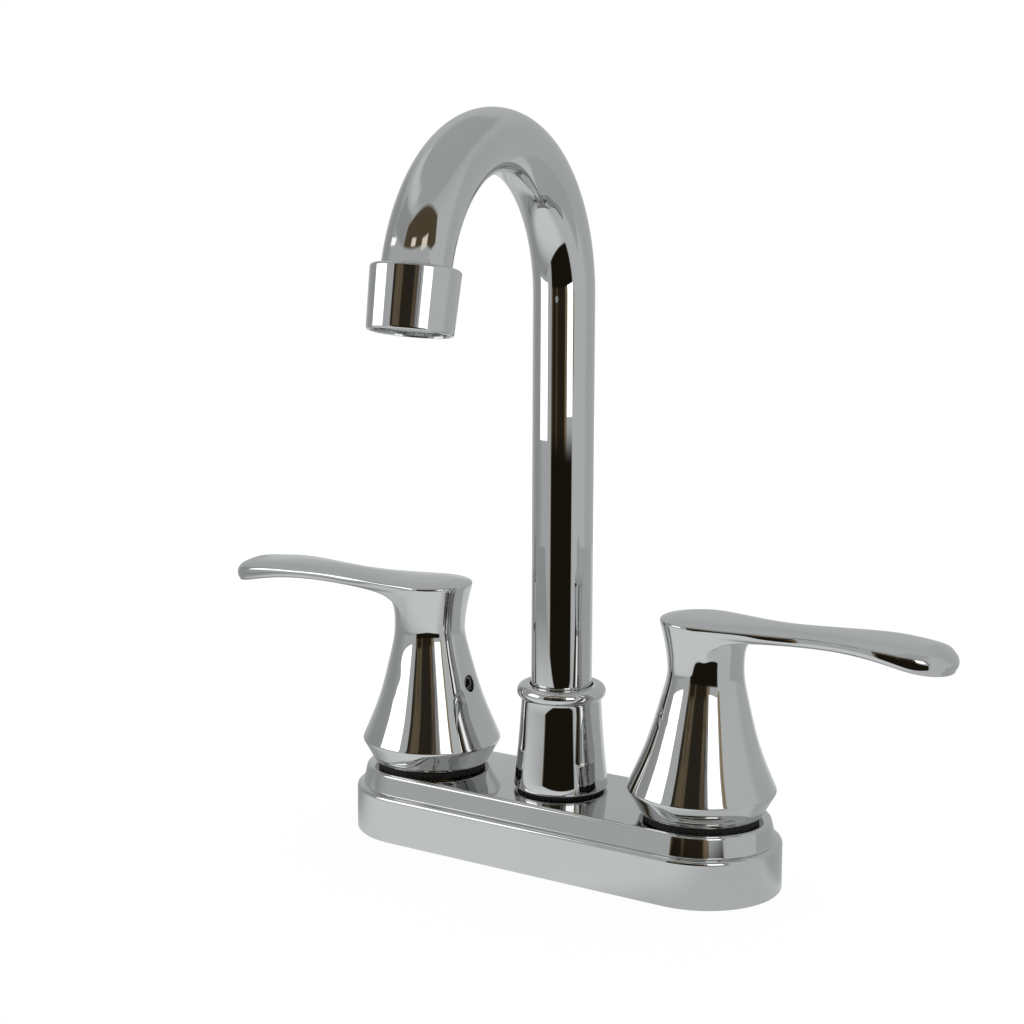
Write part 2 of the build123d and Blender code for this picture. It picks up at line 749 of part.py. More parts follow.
# Spout sleeve: neck in the tube, body with a ring groove, spigot with two seal grooves
sleeve_top = sleeve_shoulder + sleeve_body_length
spigot_low = sleeve_shoulder - sleeve_spigot_length
spigot_radius = socket_bore_radius - running_play
spigot_groove_radius = spigot_radius - ring_section - ring_squeeze + running_play
ring_heights = [
    spigot_low + sleeve_ring_depth + step * sleeve_ring_pitch - sleeve_ring_pitch / 2 for step in (0, 1)
]
with BuildPart() as spout_sleeve:
    with BuildSketch(Plane.XY.offset(spigot_low)):
        Circle(spigot_radius)
    extrude(amount=sleeve_spigot_length)
    with BuildSketch(Plane.XY.offset(sleeve_shoulder)):
        Circle(tube_radius)
    extrude(amount=sleeve_body_length)
    with BuildSketch(Plane.XY.offset(sleeve_top)):
        Circle(tube_radius - tube_wall - thread_play)
    extrude(amount=sleeve_neck_length)
    with BuildSketch(Plane.XY.offset(snap_ring_low)):
        Circle(tube_radius)
        Circle(tube_radius - snap_ring_depth, mode=Mode.SUBTRACT)
    extrude(amount=snap_ring_thickness, mode=Mode.SUBTRACT)
    for height in ring_heights:
        with BuildSketch(Plane.XY.offset(height - ring_section / 2 - groove_side)):
            Circle(spigot_radius)
            Circle(spigot_groove_radius, mode=Mode.SUBTRACT)
        extrude(amount=ring_section + 2 * groove_side, mode=Mode.SUBTRACT)
    with BuildSketch(Plane.XY.offset(spigot_low)):
        Circle(sleeve_bore_radius)
    extrude(amount=sleeve_top + sleeve_neck_length - spigot_low, mode=Mode.SUBTRACT)
spout_sleeve.part.label = "spout_sleeve"
export_step(spout_sleeve.part, "parts/spout_sleeve.step")

# The two sealing rings on the spigot
with BuildPart() as spout_rings:
    with BuildSketch(Plane.XZ):
        for height in ring_heights:
            ring_profile(spigot_groove_radius + ring_section / 2, height)
    revolve(axis=Axis.Z)
spout_rings.part.label = "spout_rings"
export_step(spout_rings.part, "parts/spout_rings.step")

# Split ring that keeps the spout under the collar's shoulder
with BuildPart() as snap_ring:
    with BuildSketch(Plane.XY.offset(snap_ring_low)):
        Circle(socket_radius - loose_play)
        Circle(tube_radius - snap_ring_depth + face_play, mode=Mode.SUBTRACT)
        with Locations((0, socket_radius)):
            Rectangle(snap_ring_gap, 2 * tube_radius, mode=Mode.SUBTRACT)
    extrude(amount=snap_ring_thickness)
snap_ring.part.label = "snap_ring"
export_step(snap_ring.part, "parts/snap_ring.step")

# Bent spout tube: a straight post, one wide bend and a short straight tail
reach_direction = Vector(sin(radians(spout_swing)), -cos(radians(spout_swing)), 0)
spout_plane = Plane(origin=(0, 0, 0), x_dir=reach_direction, z_dir=reach_direction.cross(Vector(0, 0, 1)))
bend = radians(bend_angle)
bend_low = spout_height - tube_radius - bend_radius
tail_start = (bend_radius - bend_radius * cos(bend), bend_low + bend_radius * sin(bend))
tail_end = (tail_start[0] + tail_length * sin(bend), tail_start[1] + tail_length * cos(bend))
with BuildPart() as spout_tube:
    with BuildLine(spout_plane) as spout_path:
        Line((0, sleeve_top), (0, bend_low))
        CenterArc((bend_radius, bend_low), bend_radius, 180, -bend_angle)
        Line(tail_start, tail_end)
    with BuildSketch(Plane.XY.offset(sleeve_top)):
        Circle(tube_radius)
        Circle(tube_radius - tube_wall, mode=Mode.SUBTRACT)
    sweep(path=spout_path.line)
spout_tube.part.label = "spout_tube"
export_step(spout_tube.part, "parts/spout_tube.step")

# The outlet's own planes: heights along the flow from the tube's end, and a half section
flow = reach_direction * sin(bend) + Vector(0, 0, 1) * cos(bend)
outlet_point = spout_plane.from_local_coords((tail_end[0], tail_end[1], 0))
outlet = Plane(origin=outlet_point, x_dir=spout_plane.z_dir, z_dir=flow)
outlet_section = Plane(origin=outlet_point, x_dir=outlet.x_dir, z_dir=outlet.x_dir.cross(flow))
outlet_axis = Axis(outlet_point, flow)
mouth_end = aerator_length - aerator_lap

# Threaded ferrule brazed round the tube's end
ferrule_low = ferrule_lip - ferrule_length
with BuildPart() as ferrule:
    with BuildSketch(outlet.offset(ferrule_low)):
        Circle(ferrule_thread_radius)
        Circle(tube_radius + thread_play, mode=Mode.SUBTRACT)
    extrude(amount=ferrule_length)
    with BuildSketch(outlet.offset(face_play)):
        Circle(ferrule_thread_radius)
        Circle(tube_radius - tube_wall, mode=Mode.SUBTRACT)
    extrude(amount=ferrule_lip - face_play)
    with BuildSketch(outlet.offset(ferrule_low)):
        Circle(tube_radius + ferrule_relief)
    extrude(amount=-tail_length - ferrule_low, mode=Mode.SUBTRACT)
ferrule.part.label = "ferrule"
export_step(ferrule.part, "parts/ferrule.step")

# Aerator shell: a slightly tapered cup with an inward lip at its mouth
with BuildPart() as aerator_shell:
    with BuildSketch(outlet_section):
        Polygon(
            (ferrule_thread_radius + thread_play, -aerator_lap),
            (aerator_top_radius, -aerator_lap),
            (aerator_bottom_radius, mouth_end),
            (aerator_mouth_radius, mouth_end),
            (aerator_mouth_radius, mouth_end - aerator_lip),
            (ferrule_thread_radius + thread_play, mouth_end - aerator_lip),
            align=None,
        )
    revolve(axis=outlet_axis)
    rim_edges = [
        edge for edge in aerator_shell.edges().filter_by(GeomType.CIRCLE)
        if edge.radius > aerator_bottom_radius - match_tolerance
    ]
    fillet(rim_edges, aerator_edge_round)
aerator_shell.part.label = "aerator_shell"
export_step(aerator_shell.part, "parts/aerator_shell.step")

# Rubber washer against the ferrule's end
with BuildPart() as aerator_gasket:
    with BuildSketch(outlet.offset(ferrule_lip)):
        Circle(ferrule_thread_radius)
        Circle(aerator_gasket_hole_radius, mode=Mode.SUBTRACT)
    extrude(amount=aerator_gasket_thickness)
aerator_gasket.part.label = "aerator_gasket"
export_step(aerator_gasket.part, "parts/aerator_gasket.step")

# Aerator insert: a cup whose floor has a ring of jets
insert_low = ferrule_lip + aerator_gasket_thickness
screen_low = mouth_end - aerator_lip - screen_thickness
jet_circle = ferrule_thread_radius - insert_wall - 4 * insert_jet_radius
with BuildPart() as aerator_insert:
    with BuildSketch(outlet.offset(insert_low)):
        Circle(ferrule_thread_radius)
    extrude(amount=screen_low - insert_low)
    with BuildSketch(outlet.offset(insert_low + insert_plate_thickness)):
        Circle(ferrule_thread_radius - insert_wall)
    extrude(amount=screen_low - insert_low - insert_plate_thickness, mode=Mode.SUBTRACT)
    with BuildSketch(outlet.offset(insert_low)):
        with PolarLocations(jet_circle, insert_jet_count):
            Circle(insert_jet_radius)
    extrude(amount=insert_plate_thickness, mode=Mode.SUBTRACT)
aerator_insert.part.label = "aerator_insert"
export_step(aerator_insert.part, "parts/aerator_insert.step")

# Screen across the mouth: a disc with a square grid of holes
screen_reach = ferrule_thread_radius - screen_margin - screen_hole / 2
grid_count = 2 * int(screen_reach / screen_pitch) + 1
with BuildPart() as aerator_screen:
    with BuildSketch(outlet.offset(screen_low)):
        Circle(ferrule_thread_radius)
        with GridLocations(screen_pitch, screen_pitch, grid_count, grid_count) as grid:
            inside = [spot for spot in grid.local_locations if spot.position.length < screen_reach]
        with Locations(*inside):
            Rectangle(screen_hole, screen_hole, mode=Mode.SUBTRACT)
    extrude(amount=screen_thickness)
aerator_screen.part.label = "aerator_screen"
export_step(aerator_screen.part, "parts/aerator_screen.step")
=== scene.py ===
"""Looks of the bathroom sink faucet: polished chrome above the deck, brass and rubber inside, in a light tent."""

import json
import logging
from dataclasses import dataclass
from enum import Enum
from math import atan2, cos, hypot, pi, radians, sin, sqrt
from typing import Any, Callable, Sequence

import bmesh
import bpy
from mathutils import Matrix, Vector


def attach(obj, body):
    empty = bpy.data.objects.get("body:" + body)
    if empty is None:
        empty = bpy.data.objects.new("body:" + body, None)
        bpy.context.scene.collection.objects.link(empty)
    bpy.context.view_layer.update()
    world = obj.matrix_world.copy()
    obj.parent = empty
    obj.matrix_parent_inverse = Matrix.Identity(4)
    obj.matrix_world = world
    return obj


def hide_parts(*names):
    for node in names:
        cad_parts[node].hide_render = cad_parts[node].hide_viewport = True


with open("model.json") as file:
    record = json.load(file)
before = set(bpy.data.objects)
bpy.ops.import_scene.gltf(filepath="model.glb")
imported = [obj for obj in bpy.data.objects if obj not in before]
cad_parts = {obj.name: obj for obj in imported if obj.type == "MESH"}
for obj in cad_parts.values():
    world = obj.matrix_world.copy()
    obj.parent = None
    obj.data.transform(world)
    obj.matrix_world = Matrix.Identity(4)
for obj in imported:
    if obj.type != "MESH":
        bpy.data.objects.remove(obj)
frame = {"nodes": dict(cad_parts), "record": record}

log = logging.getLogger("faucet")
MM = 0.001
Loop = list[bmesh.types.BMVert]
Edges = list[bmesh.types.BMEdge]
Triple = tuple[float, float, float]
Colour = Triple
Stations = tuple[tuple[float, float], ...]


class Slot(Enum):
    """The record's material slots."""

    CHROME = "chrome"
    BRASS = "brass"
    STEEL = "steel"
    CERAMIC = "ceramic"
    RUBBER = "black_rubber"
    BLACK_PLASTIC = "black_plastic"
    WHITE_PLASTIC = "white_plastic"


# ---- Shader maths ----


class Wire:
    """One output of a node, which Python's operators feed into Math nodes."""

    def __init__(self, graph: "Graph", link: Any) -> None:
        """Keeps the graph and the socket."""
        self.graph = graph
        self.link = link

    def _math(self, operation: str, *values: Any) -> "Wire":
        """Adds one Math node.

        Args:
            operation: Blender's name of the operation.
            values: Wires or numbers, in order.

        Returns:
            The node's value.
        """
        return self.graph.add("ShaderNodeMath", {"operation": operation}, dict(enumerate(values)))

    def __add__(self, other: Any) -> "Wire":
        """Sum."""
        return self._math("ADD", self, other)

    def __sub__(self, other: Any) -> "Wire":
        """Difference."""
        return self._math("SUBTRACT", self, other)

    def __rsub__(self, other: Any) -> "Wire":
        """Difference from a number."""
        return self._math("SUBTRACT", other, self)

    def __mul__(self, other: Any) -> "Wire":
        """Product."""
        return self._math("MULTIPLY", self, other)

    def __truediv__(self, other: Any) -> "Wire":
        """Quotient."""
        return self._math("DIVIDE", self, other)

    def __pow__(self, other: Any) -> "Wire":
        """Power."""
        return self._math("POWER", self, other)

    def __neg__(self) -> "Wire":
        """Negative."""
        return self * -1.0

    __radd__ = __add__
    __rmul__ = __mul__

    def beside(self, name: Any) -> "Wire":
        """Another output of the same node, by name or number."""
        return Wire(self.graph, self.link.node.outputs[name])

    def maximum(self, other: Any) -> "Wire":
        """The larger of two values."""
        return self._math("MAXIMUM", self, other)

    def degrees(self) -> "Wire":
        """An angle in degrees."""
        return self._math("DEGREES", self)

    def arcsine(self) -> "Wire":
        """Angle of a sine."""
        return self._math("ARCSINE", self)

    def arctan2(self, other: Any) -> "Wire":
        """Angle of the point (other, self)."""
        return self._math("ARCTAN2", self, other)

    def ramp(self, low: float, high: float, start: float = 0.0, end: float = 1.0) -> "Wire":
        """Maps low..high smoothly onto start..end, and holds the ends.

        Args:
            low: Value that gives start.
            high: Value that gives end.
            start: Result at and below low.
            end: Result at and above high.

        Returns:
            The mapped value.
        """
        settings = {"interpolation_type": "SMOOTHSTEP"}
        return self.graph.add("ShaderNodeMapRange", settings, {0: self, 1: low, 2: high, 3: start, 4: end})

    def band(self, low: float, high: float, soft: float) -> "Wire":
        """A mask that is 1 between low and high, with edges that fade over soft."""
        return self.ramp(low - soft, low + soft) * (1.0 - self.ramp(high - soft, high + soft))


class Graph:
    """A node tree that is filled through one method."""

    def __init__(self, tree: bpy.types.NodeTree) -> None:
        """Empties the tree."""
        self.tree = tree
        tree.nodes.clear()

    def add(self, kind: str, settings: dict[str, Any] | None = None, values: dict[Any, Any] | None = None,
            output: Any = 0) -> Wire:
        """Adds a node.

        Args:
            kind: The node's type.
            settings: Its properties, set first.
            values: Its inputs by name or number: wires, numbers or tuples.
            output: Name or number of the output to return.

        Returns:
            The chosen output as a wire.
        """
        node = self.tree.nodes.new(kind)
        for key, value in (settings or {}).items():
            setattr(node, key, value)
        for key, value in (values or {}).items():
            if isinstance(value, Wire):
                self.tree.links.new(value.link, node.inputs[key])
            else:
                node.inputs[key].default_value = value
        return Wire(self, node.outputs[output] if len(node.outputs) else None)

    def mix(self, mask: Any, low: Any, high: Any) -> Wire:
        """Mixes two colours.

        Args:
            mask: 0 gives low and 1 gives high.
            low: Colour or wire.
            high: Colour or wire.

        Returns:
            The mixed colour.
        """
        low, high = (value if isinstance(value, Wire) else (*value, 1.0) for value in (low, high))
        return self.add("ShaderNodeMix", {"data_type": "RGBA"}, {0: mask, 6: low, 7: high}, 2)

    def cover(self, mask: Wire, low: Wire, high: Wire) -> Wire:
        """Mixes two shaders: a mask of 0 gives low and 1 gives high."""
        return self.add("ShaderNodeMixShader", {}, {0: mask, 1: low, 2: high})

    def vector(self, operation: str, *values: Any, output: Any = 0) -> Wire:
        """Adds one Vector Math node on wires or tuples."""
        return self.add("ShaderNodeVectorMath", {"operation": operation}, dict(enumerate(values)), output)

    def place(self, scale: Triple = (1.0, 1.0, 1.0), centre: Triple = (0.0, 0.0, 0.0)) -> Wire:
        """Object coordinates, centred and scaled.

        Args:
            scale: Scale along each axis, for metres.
            centre: The point that becomes the origin, in metres.

        Returns:
            The mapped vector.
        """
        raw = self.add("ShaderNodeTexCoord", output="Object")
        return self.vector("MULTIPLY", self.vector("SUBTRACT", raw, centre), scale)

    def noise(self, vector: Wire, scale: float, detail: float = 3.0, roughness: float = 0.5) -> Wire:
        """Noise between 0 and 1 on a vector in metres."""
        values = {"Vector": vector, "Scale": scale, "Detail": detail, "Roughness": roughness}
        return self.add("ShaderNodeTexNoise", {}, values)


def new_material(name: str) -> tuple[bpy.types.Material, Graph]:
    """Makes an empty material.

    Args:
        name: The material's name.

    Returns:
        The material and the graph that fills it.
    """
    made = bpy.data.materials.new(name)
    made.use_nodes = True
    return made, Graph(made.node_tree)


# ---- Finishes ----


@dataclass(frozen=True)
class Finish:
    """A surface whose colour, gloss and relief vary a little over the piece."""

    name: str
    slot: Slot
    colour: Colour
    shade: Colour
    roughness: tuple[float, float] = (0.3, 0.4)
    metallic: float = 0.0
    coat: float = 0.0
    grain_scale: float = 400.0
    relief: float = 0.00001
    stretch: Triple = (1.0, 1.0, 1.0)
    level: float = 0.5

    def pattern(self, graph: Graph) -> tuple[Wire, Wire, Wire]:
        """Adds what varies over the surface: soft clouds and a fine grain.

        Args:
            graph: The material's nodes.

        Returns:
            Mask of the second colour, roughness and height of the relief.
        """
        spot = graph.place(self.stretch)
        cloud = graph.noise(spot, 35.0, 2.0)
        grain = graph.noise(spot, self.grain_scale, 4.0, 0.6)
        return cloud.ramp(0.35, 0.65), (cloud * 0.5 + grain * 0.5).ramp(0.3, 0.7, *self.roughness), grain

    def surface(self, graph: Graph) -> Wire:
        """Adds the shader.

        Args:
            graph: The material's nodes.

        Returns:
            The shader's output.
        """
        mask, rough, height = self.pattern(graph)
        bump = graph.add("ShaderNodeBump", {}, {"Strength": 1.0, "Distance": self.relief, "Height": height})
        return graph.add("ShaderNodeBsdfPrincipled", {}, {
            "Base Color": graph.mix(mask, self.colour, self.shade), "Roughness": rough, "Metallic": self.metallic,
            "Coat Weight": self.coat, "Specular IOR Level": self.level, "Normal": bump,
        })

    def material(self) -> bpy.types.Material:
        """Builds the finish once and returns it after that.

        Returns:
            The material.
        """
        made = bpy.data.materials.get(self.name)
        if not made:
            made, graph = new_material(self.name)
            graph.add("ShaderNodeOutputMaterial", {}, {"Surface": self.surface(graph)})
            made.diffuse_color = (*self.colour, 1.0)
        return made


@dataclass(frozen=True)
class PolishedPlate(Finish):
    """Bright chrome plate: a near mirror with a faint film and the slightest waviness of the polish."""

    def pattern(self, graph: Graph) -> tuple[Wire, Wire, Wire]:
        """Adds what varies over the surface: a film, upright wipe marks and long waves.

        Args:
            graph: The material's nodes.

        Returns:
            Mask of the second colour, roughness and height of the relief.
        """
        spot = graph.place()
        film = graph.noise(spot, 28.0, 4.0, 0.55)
        wipe = graph.noise(graph.place((1.0, 1.0, 0.25)), 90.0, 3.0, 0.6)
        wave = graph.noise(spot, 60.0, 1.0, 0.4)
        return film.ramp(0.4, 0.75), (film * 0.6 + wipe * 0.4).ramp(0.42, 0.72, *self.roughness), wave


CHROME = PolishedPlate("polished_chrome", Slot.CHROME, (0.61, 0.61, 0.61), (0.58, 0.585, 0.585), (0.01, 0.04), 1.0)
BRASS = Finish("turned_brass", Slot.BRASS, (0.72, 0.55, 0.28), (0.62, 0.45, 0.2), (0.22, 0.38), 1.0,
               grain_scale=900.0, relief=0.00002, stretch=(0.3, 0.3, 1.0))
STEEL = Finish("plain_steel", Slot.STEEL, (0.62, 0.62, 0.62), (0.54, 0.54, 0.55), (0.25, 0.4), 1.0,
               grain_scale=1200.0, stretch=(1.0, 0.2, 1.0))
CERAMIC = Finish("lapped_ceramic", Slot.CERAMIC, (0.88, 0.87, 0.83), (0.84, 0.83, 0.79), (0.1, 0.18), coat=0.3)
RUBBER = Finish("black_rubber", Slot.RUBBER, (0.02, 0.02, 0.021), (0.03, 0.03, 0.03), (0.55, 0.75),
                grain_scale=1500.0, relief=0.00003, level=0.35)
# Near black with little gloss: on the glide rings this also stands for painted shade in the gap under each hub.
BLACK_PLASTIC = Finish("black_plastic", Slot.BLACK_PLASTIC, (0.004, 0.004, 0.004), (0.006, 0.006, 0.006),
                       (0.6, 0.75), grain_scale=1800.0, relief=0.000002, level=0.15)
WHITE_PLASTIC = Finish("white_plastic", Slot.WHITE_PLASTIC, (0.84, 0.84, 0.82), (0.78, 0.78, 0.75), (0.3, 0.45))
FINISHES = {finish.slot: finish for finish in
            (CHROME, BRASS, STEEL, CERAMIC, RUBBER, BLACK_PLASTIC, WHITE_PLASTIC)}


# ---- Shapes ----


@dataclass(frozen=True)
class Piece:
    """Where a new mesh belongs."""

    name: str
    body: str
    finish: Finish
    replaces: tuple[str, ...] = ()


class Shape:
    """A bmesh with the few operations that the pieces need: in millimetres, or in metres for the studio."""

    def __init__(self) -> None:
        """Starts empty."""
        self.bm = bmesh.new()

    def outline(self, points: Sequence[Sequence[float]], closed: bool = False) -> Edges:
        """Draws a chain of edges.

        Args:
            points: Corners as (x, y, z).
            closed: Whether the last corner joins the first.

        Returns:
            The edges in order.
        """
        corners = [self.bm.verts.new(point) for point in points]
        pairs = list(zip(corners, corners[1:]))
        if closed:
            pairs.append((corners[-1], corners[0]))
        return [self.bm.edges.new(pair) for pair in pairs]

    def edges(self, where: Callable[[Vector], bool]) -> Edges:
        """Edges whose two ends pass a test on their places."""
        return [edge for edge in self.bm.edges if all(where(corner.co) for corner in edge.verts)]

    def spin(self, edges: Edges, angle: float, steps: int, centre: Triple = (0.0, 0.0, 0.0),
             axis: Triple = (0.0, 0.0, 1.0), climb: float = 0.0, merge: bool = False) -> Edges:
        """Sweeps edges round an axis.

        Args:
            edges: The edges.
            angle: The whole turn in radians.
            steps: Divisions of the turn.
            centre: A point on the axis.
            axis: Its direction.
            climb: Rise along Z with each step.
            merge: Whether a full turn is closed.

        Returns:
            The edges at the end.
        """
        corners = list({corner for edge in edges for corner in edge.verts})
        spun = bmesh.ops.spin(self.bm, geom=corners + edges, cent=centre, axis=axis, dvec=(0, 0, climb),
                              angle=angle, steps=steps, use_merge=merge, use_normal_flip=False,
                              use_duplicate=False)
        return [part for part in spun["geom_last"] if isinstance(part, bmesh.types.BMEdge)]

    def extrude(self, edges: Edges) -> tuple[Edges, Loop]:
        """Extrudes edges on the spot.

        Args:
            edges: The edges.

        Returns:
            The new edges and corners.
        """
        made = bmesh.ops.extrude_edge_only(self.bm, edges=edges)["geom"]
        fresh = [part for part in made if isinstance(part, bmesh.types.BMVert)]
        return [part for part in made if isinstance(part, bmesh.types.BMEdge)
                and all(corner in fresh for corner in part.verts)], fresh

    def run(self, edges: Edges, along: Vector, parts: int) -> Edges:
        """Extrudes edges straight on.

        Args:
            edges: The edges.
            along: The whole way.
            parts: Number of equal parts.

        Returns:
            The edges at the end.
        """
        for _ in range(parts):
            edges, fresh = self.extrude(edges)
            bmesh.ops.translate(self.bm, verts=fresh, vec=along / parts)
        return edges

    def turn(self, profile: Sequence[tuple[float, float]], steps: int = 128, closed: bool = False) -> "Shape":
        """Turns a profile of (radius, height) pairs about the Z axis.

        Args:
            profile: Points from one end of the section to the other.
            steps: Divisions of the full turn.
            closed: Whether the section is a closed ring.

        Returns:
            The shape itself.
        """
        self.spin(self.outline([(radius, 0.0, height) for radius, height in profile], closed), 2 * pi, steps,
                  merge=True)
        return self.clean()

    def clean(self) -> "Shape":
        """Merges doubles and points the faces outwards.

        Returns:
            The shape itself.
        """
        bmesh.ops.remove_doubles(self.bm, verts=self.bm.verts, dist=0.0005)
        bmesh.ops.dissolve_degenerate(self.bm, edges=self.bm.edges, dist=0.0001)
        bmesh.ops.recalc_face_normals(self.bm, faces=self.bm.faces)
        return self

    def round(self, where: Callable[[Vector], bool], size: float, segments: int = 5) -> "Shape":
        """Rounds every edge whose two ends pass the test.

        Args:
            where: Test on a corner's place.
            size: Width of the bevel.
            segments: Facets across it.

        Returns:
            The shape itself.
        """
        bmesh.ops.bevel(self.bm, geom=self.edges(where), offset=size, offset_type="OFFSET", affect="EDGES",
                        segments=segments, profile=0.5, material=-1, clamp_overlap=True)
        return self

    def ring(self, radius: float, height: float, size: float, segments: int = 5) -> "Shape":
        """Rounds a turned ring edge given by its radius and height."""
        return self.round(lambda co: abs(hypot(co.x, co.y) - radius) < 0.01 and abs(co.z - height) < 0.01,
                          size, segments)

    def move(self, matrix: Matrix) -> "Shape":
        """Places the whole shape by a matrix and returns it."""
        bmesh.ops.transform(self.bm, matrix=matrix, verts=self.bm.verts)
        return self

    def finish(self, piece: Piece, sharp: float = 40.0, subdivide: int = 0, weighted: bool = True) -> bpy.types.Object:
        """Turns the shape into an object in metres, dresses it and hands it to its body.

        Args:
            piece: Name, body, finish and the solids that it stands for.
            sharp: Edges that turn by more degrees than this stay crisp.
            subdivide: Levels of a Subdivision Surface.
            weighted: Whether large faces rule the shading.

        Returns:
            The object.
        """
        bmesh.ops.scale(self.bm, vec=(MM, MM, MM), verts=self.bm.verts)
        mesh = bpy.data.meshes.new(piece.name)
        for face in self.bm.faces:
            face.smooth = True
        self.bm.to_mesh(mesh)
        self.bm.free()
        mesh.set_sharp_from_angle(angle=radians(sharp))
        made = bpy.data.objects.new(piece.name, mesh)
        bpy.context.scene.collection.objects.link(made)
        if subdivide:
            modifier = made.modifiers.new("subdivide", "SUBSURF")
            modifier.levels = modifier.render_levels = subdivide
        if weighted:
            modifier = made.modifiers.new("even_shading", "WEIGHTED_NORMAL")
            modifier.keep_sharp = True
        mesh.materials.append(piece.finish.material())
        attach(made, piece.body)
        if piece.replaces:
            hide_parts(*piece.replaces)
        log.info("%s: %d faces on %s", piece.name, len(mesh.polygons), piece.body)
        return made


def smooth_curve(stations: Sequence[tuple[float, float]]) -> Callable[[float], float]:
    """A smooth curve through stations, carried on straight past both ends.

    Args:
        stations: (position, value) pairs in rising order.

    Returns:
        The value at a position.
    """
    places = [place for place, _ in stations]
    values = [value for _, value in stations]
    slopes = []
    for index in range(len(places)):
        low, high = max(index - 1, 0), min(index + 1, len(places) - 1)
        slopes.append((values[high] - values[low]) / (places[high] - places[low]))

    def at(place: float) -> float:
        """Interpolates between the neighbouring stations.

        Args:
            place: The position.

        Returns:
            The value there.
        """
        if place <= places[0]:
            return values[0] + slopes[0] * (place - places[0])
        if place >= places[-1]:
            return values[-1] + slopes[-1] * (place - places[-1])
        index = next(number for number, start in enumerate(places[1:]) if place <= start)
        span = places[index + 1] - places[index]
        t = (place - places[index]) / span
        return ((2 * t**3 - 3 * t**2 + 1) * values[index] + (t**3 - 2 * t**2 + t) * span * slopes[index]
                + (3 * t**2 - 2 * t**3) * values[index + 1] + (t**3 - t**2) * span * slopes[index + 1])

    return at


def blend(low: float, high: float, share: float) -> float:
    """Linear mix of two numbers."""
    return low + (high - low) * share


def ease(value: float) -> float:
    """Smooth step from 0 to 1."""
    value = min(max(value, 0.0), 1.0)
    return value * value * (3 - 2 * value)


# ---- Sub-assemblies ----


@dataclass
class Base:
    """Stepped oval cover plate."""

    spacing: float = 101.6
    end_radius: float = 25.1
    step_width: float = 2.1
    step_height: float = 15.2
    height: float = 21.7
    wall: float = 2.0
    barrel_hole: float = 13.8
    post_hole: float = 11.7
    shoulder_round: float = 1.5
    root_round: float = 0.35
    top_round: float = 1.0
    foot_round: float = 0.25
    draft: float = 1.4
    land: float = 4.0

    def _distance(self, place: Vector) -> float:
        """Distance from the line that joins the two valve axes."""
        along = max(abs(place.x) - self.spacing / 2, 0.0)
        return hypot(along, place.y)

    def _near(self, distance: float, height: float) -> Callable[[Vector], bool]:
        """Test for corners on one oval of the plate."""
        return lambda place: abs(self._distance(place) - distance) < 0.01 and abs(place.z - height) < 0.01

    def _close(self, shape: Shape, distance: float, height: float, holes: dict[float, float]) -> None:
        """Fills an oval with round holes in it.

        Args:
            shape: The plate.
            distance: The oval's half width.
            height: Its height.
            holes: Radius of the hole at each place along X.
        """
        rim = shape.edges(self._near(distance, height))
        for place, radius in holes.items():
            made = bmesh.ops.create_circle(shape.bm, segments=96, radius=radius,
                                           matrix=Matrix.Translation((place, 0, height)))
            rim += list({edge for corner in made["verts"] for edge in corner.link_edges})
        bmesh.ops.triangle_fill(shape.bm, use_beauty=True, use_dissolve=False, edges=rim)

    def build(self) -> None:
        """Models the plate and dresses it."""
        outer, upper = self.end_radius, self.end_radius - self.step_width
        inner, ledge, top = upper - self.land, self.step_height - self.wall, self.height - self.wall
        profile = [
            (inner, self.height), (upper - self.draft, self.height), (upper, self.step_height),
            (outer, self.step_height), (outer, 0.0), (outer - self.wall, 0.0), (outer - self.wall, ledge),
            (upper - self.wall, ledge), (upper - self.wall, top), (inner, top),
        ]
        shape = Shape()
        half = self.spacing / 2
        edges = shape.outline([(half, -distance, height) for distance, height in profile])
        for centre, shift in ((half, -self.spacing), (-half, self.spacing)):
            edges = shape.spin(edges, pi, 72, (centre, 0, 0))
            edges = shape.run(edges, Vector((shift, 0, 0)), 8)
        shape.clean()
        holes = {-half: self.barrel_hole, 0.0: self.post_hole, half: self.barrel_hole}
        for height in (self.height, top):
            self._close(shape, inner, height, holes)
        for place, radius in holes.items():
            wall = shape.edges(lambda co: abs(hypot(co.x - place, co.y) - radius) < 0.01)
            bmesh.ops.bridge_loops(shape.bm, edges=wall)
        shape.clean()
        shape.round(self._near(outer, self.step_height), self.shoulder_round, 8)
        shape.round(self._near(upper - self.draft, self.height), self.top_round, 8)
        shape.round(self._near(upper, self.step_height), self.root_round, 4)
        shape.round(self._near(outer, 0.0), self.foot_round, 3)
        shape.finish(Piece("cover_plate", "root", CHROME, ("base_plate",)))


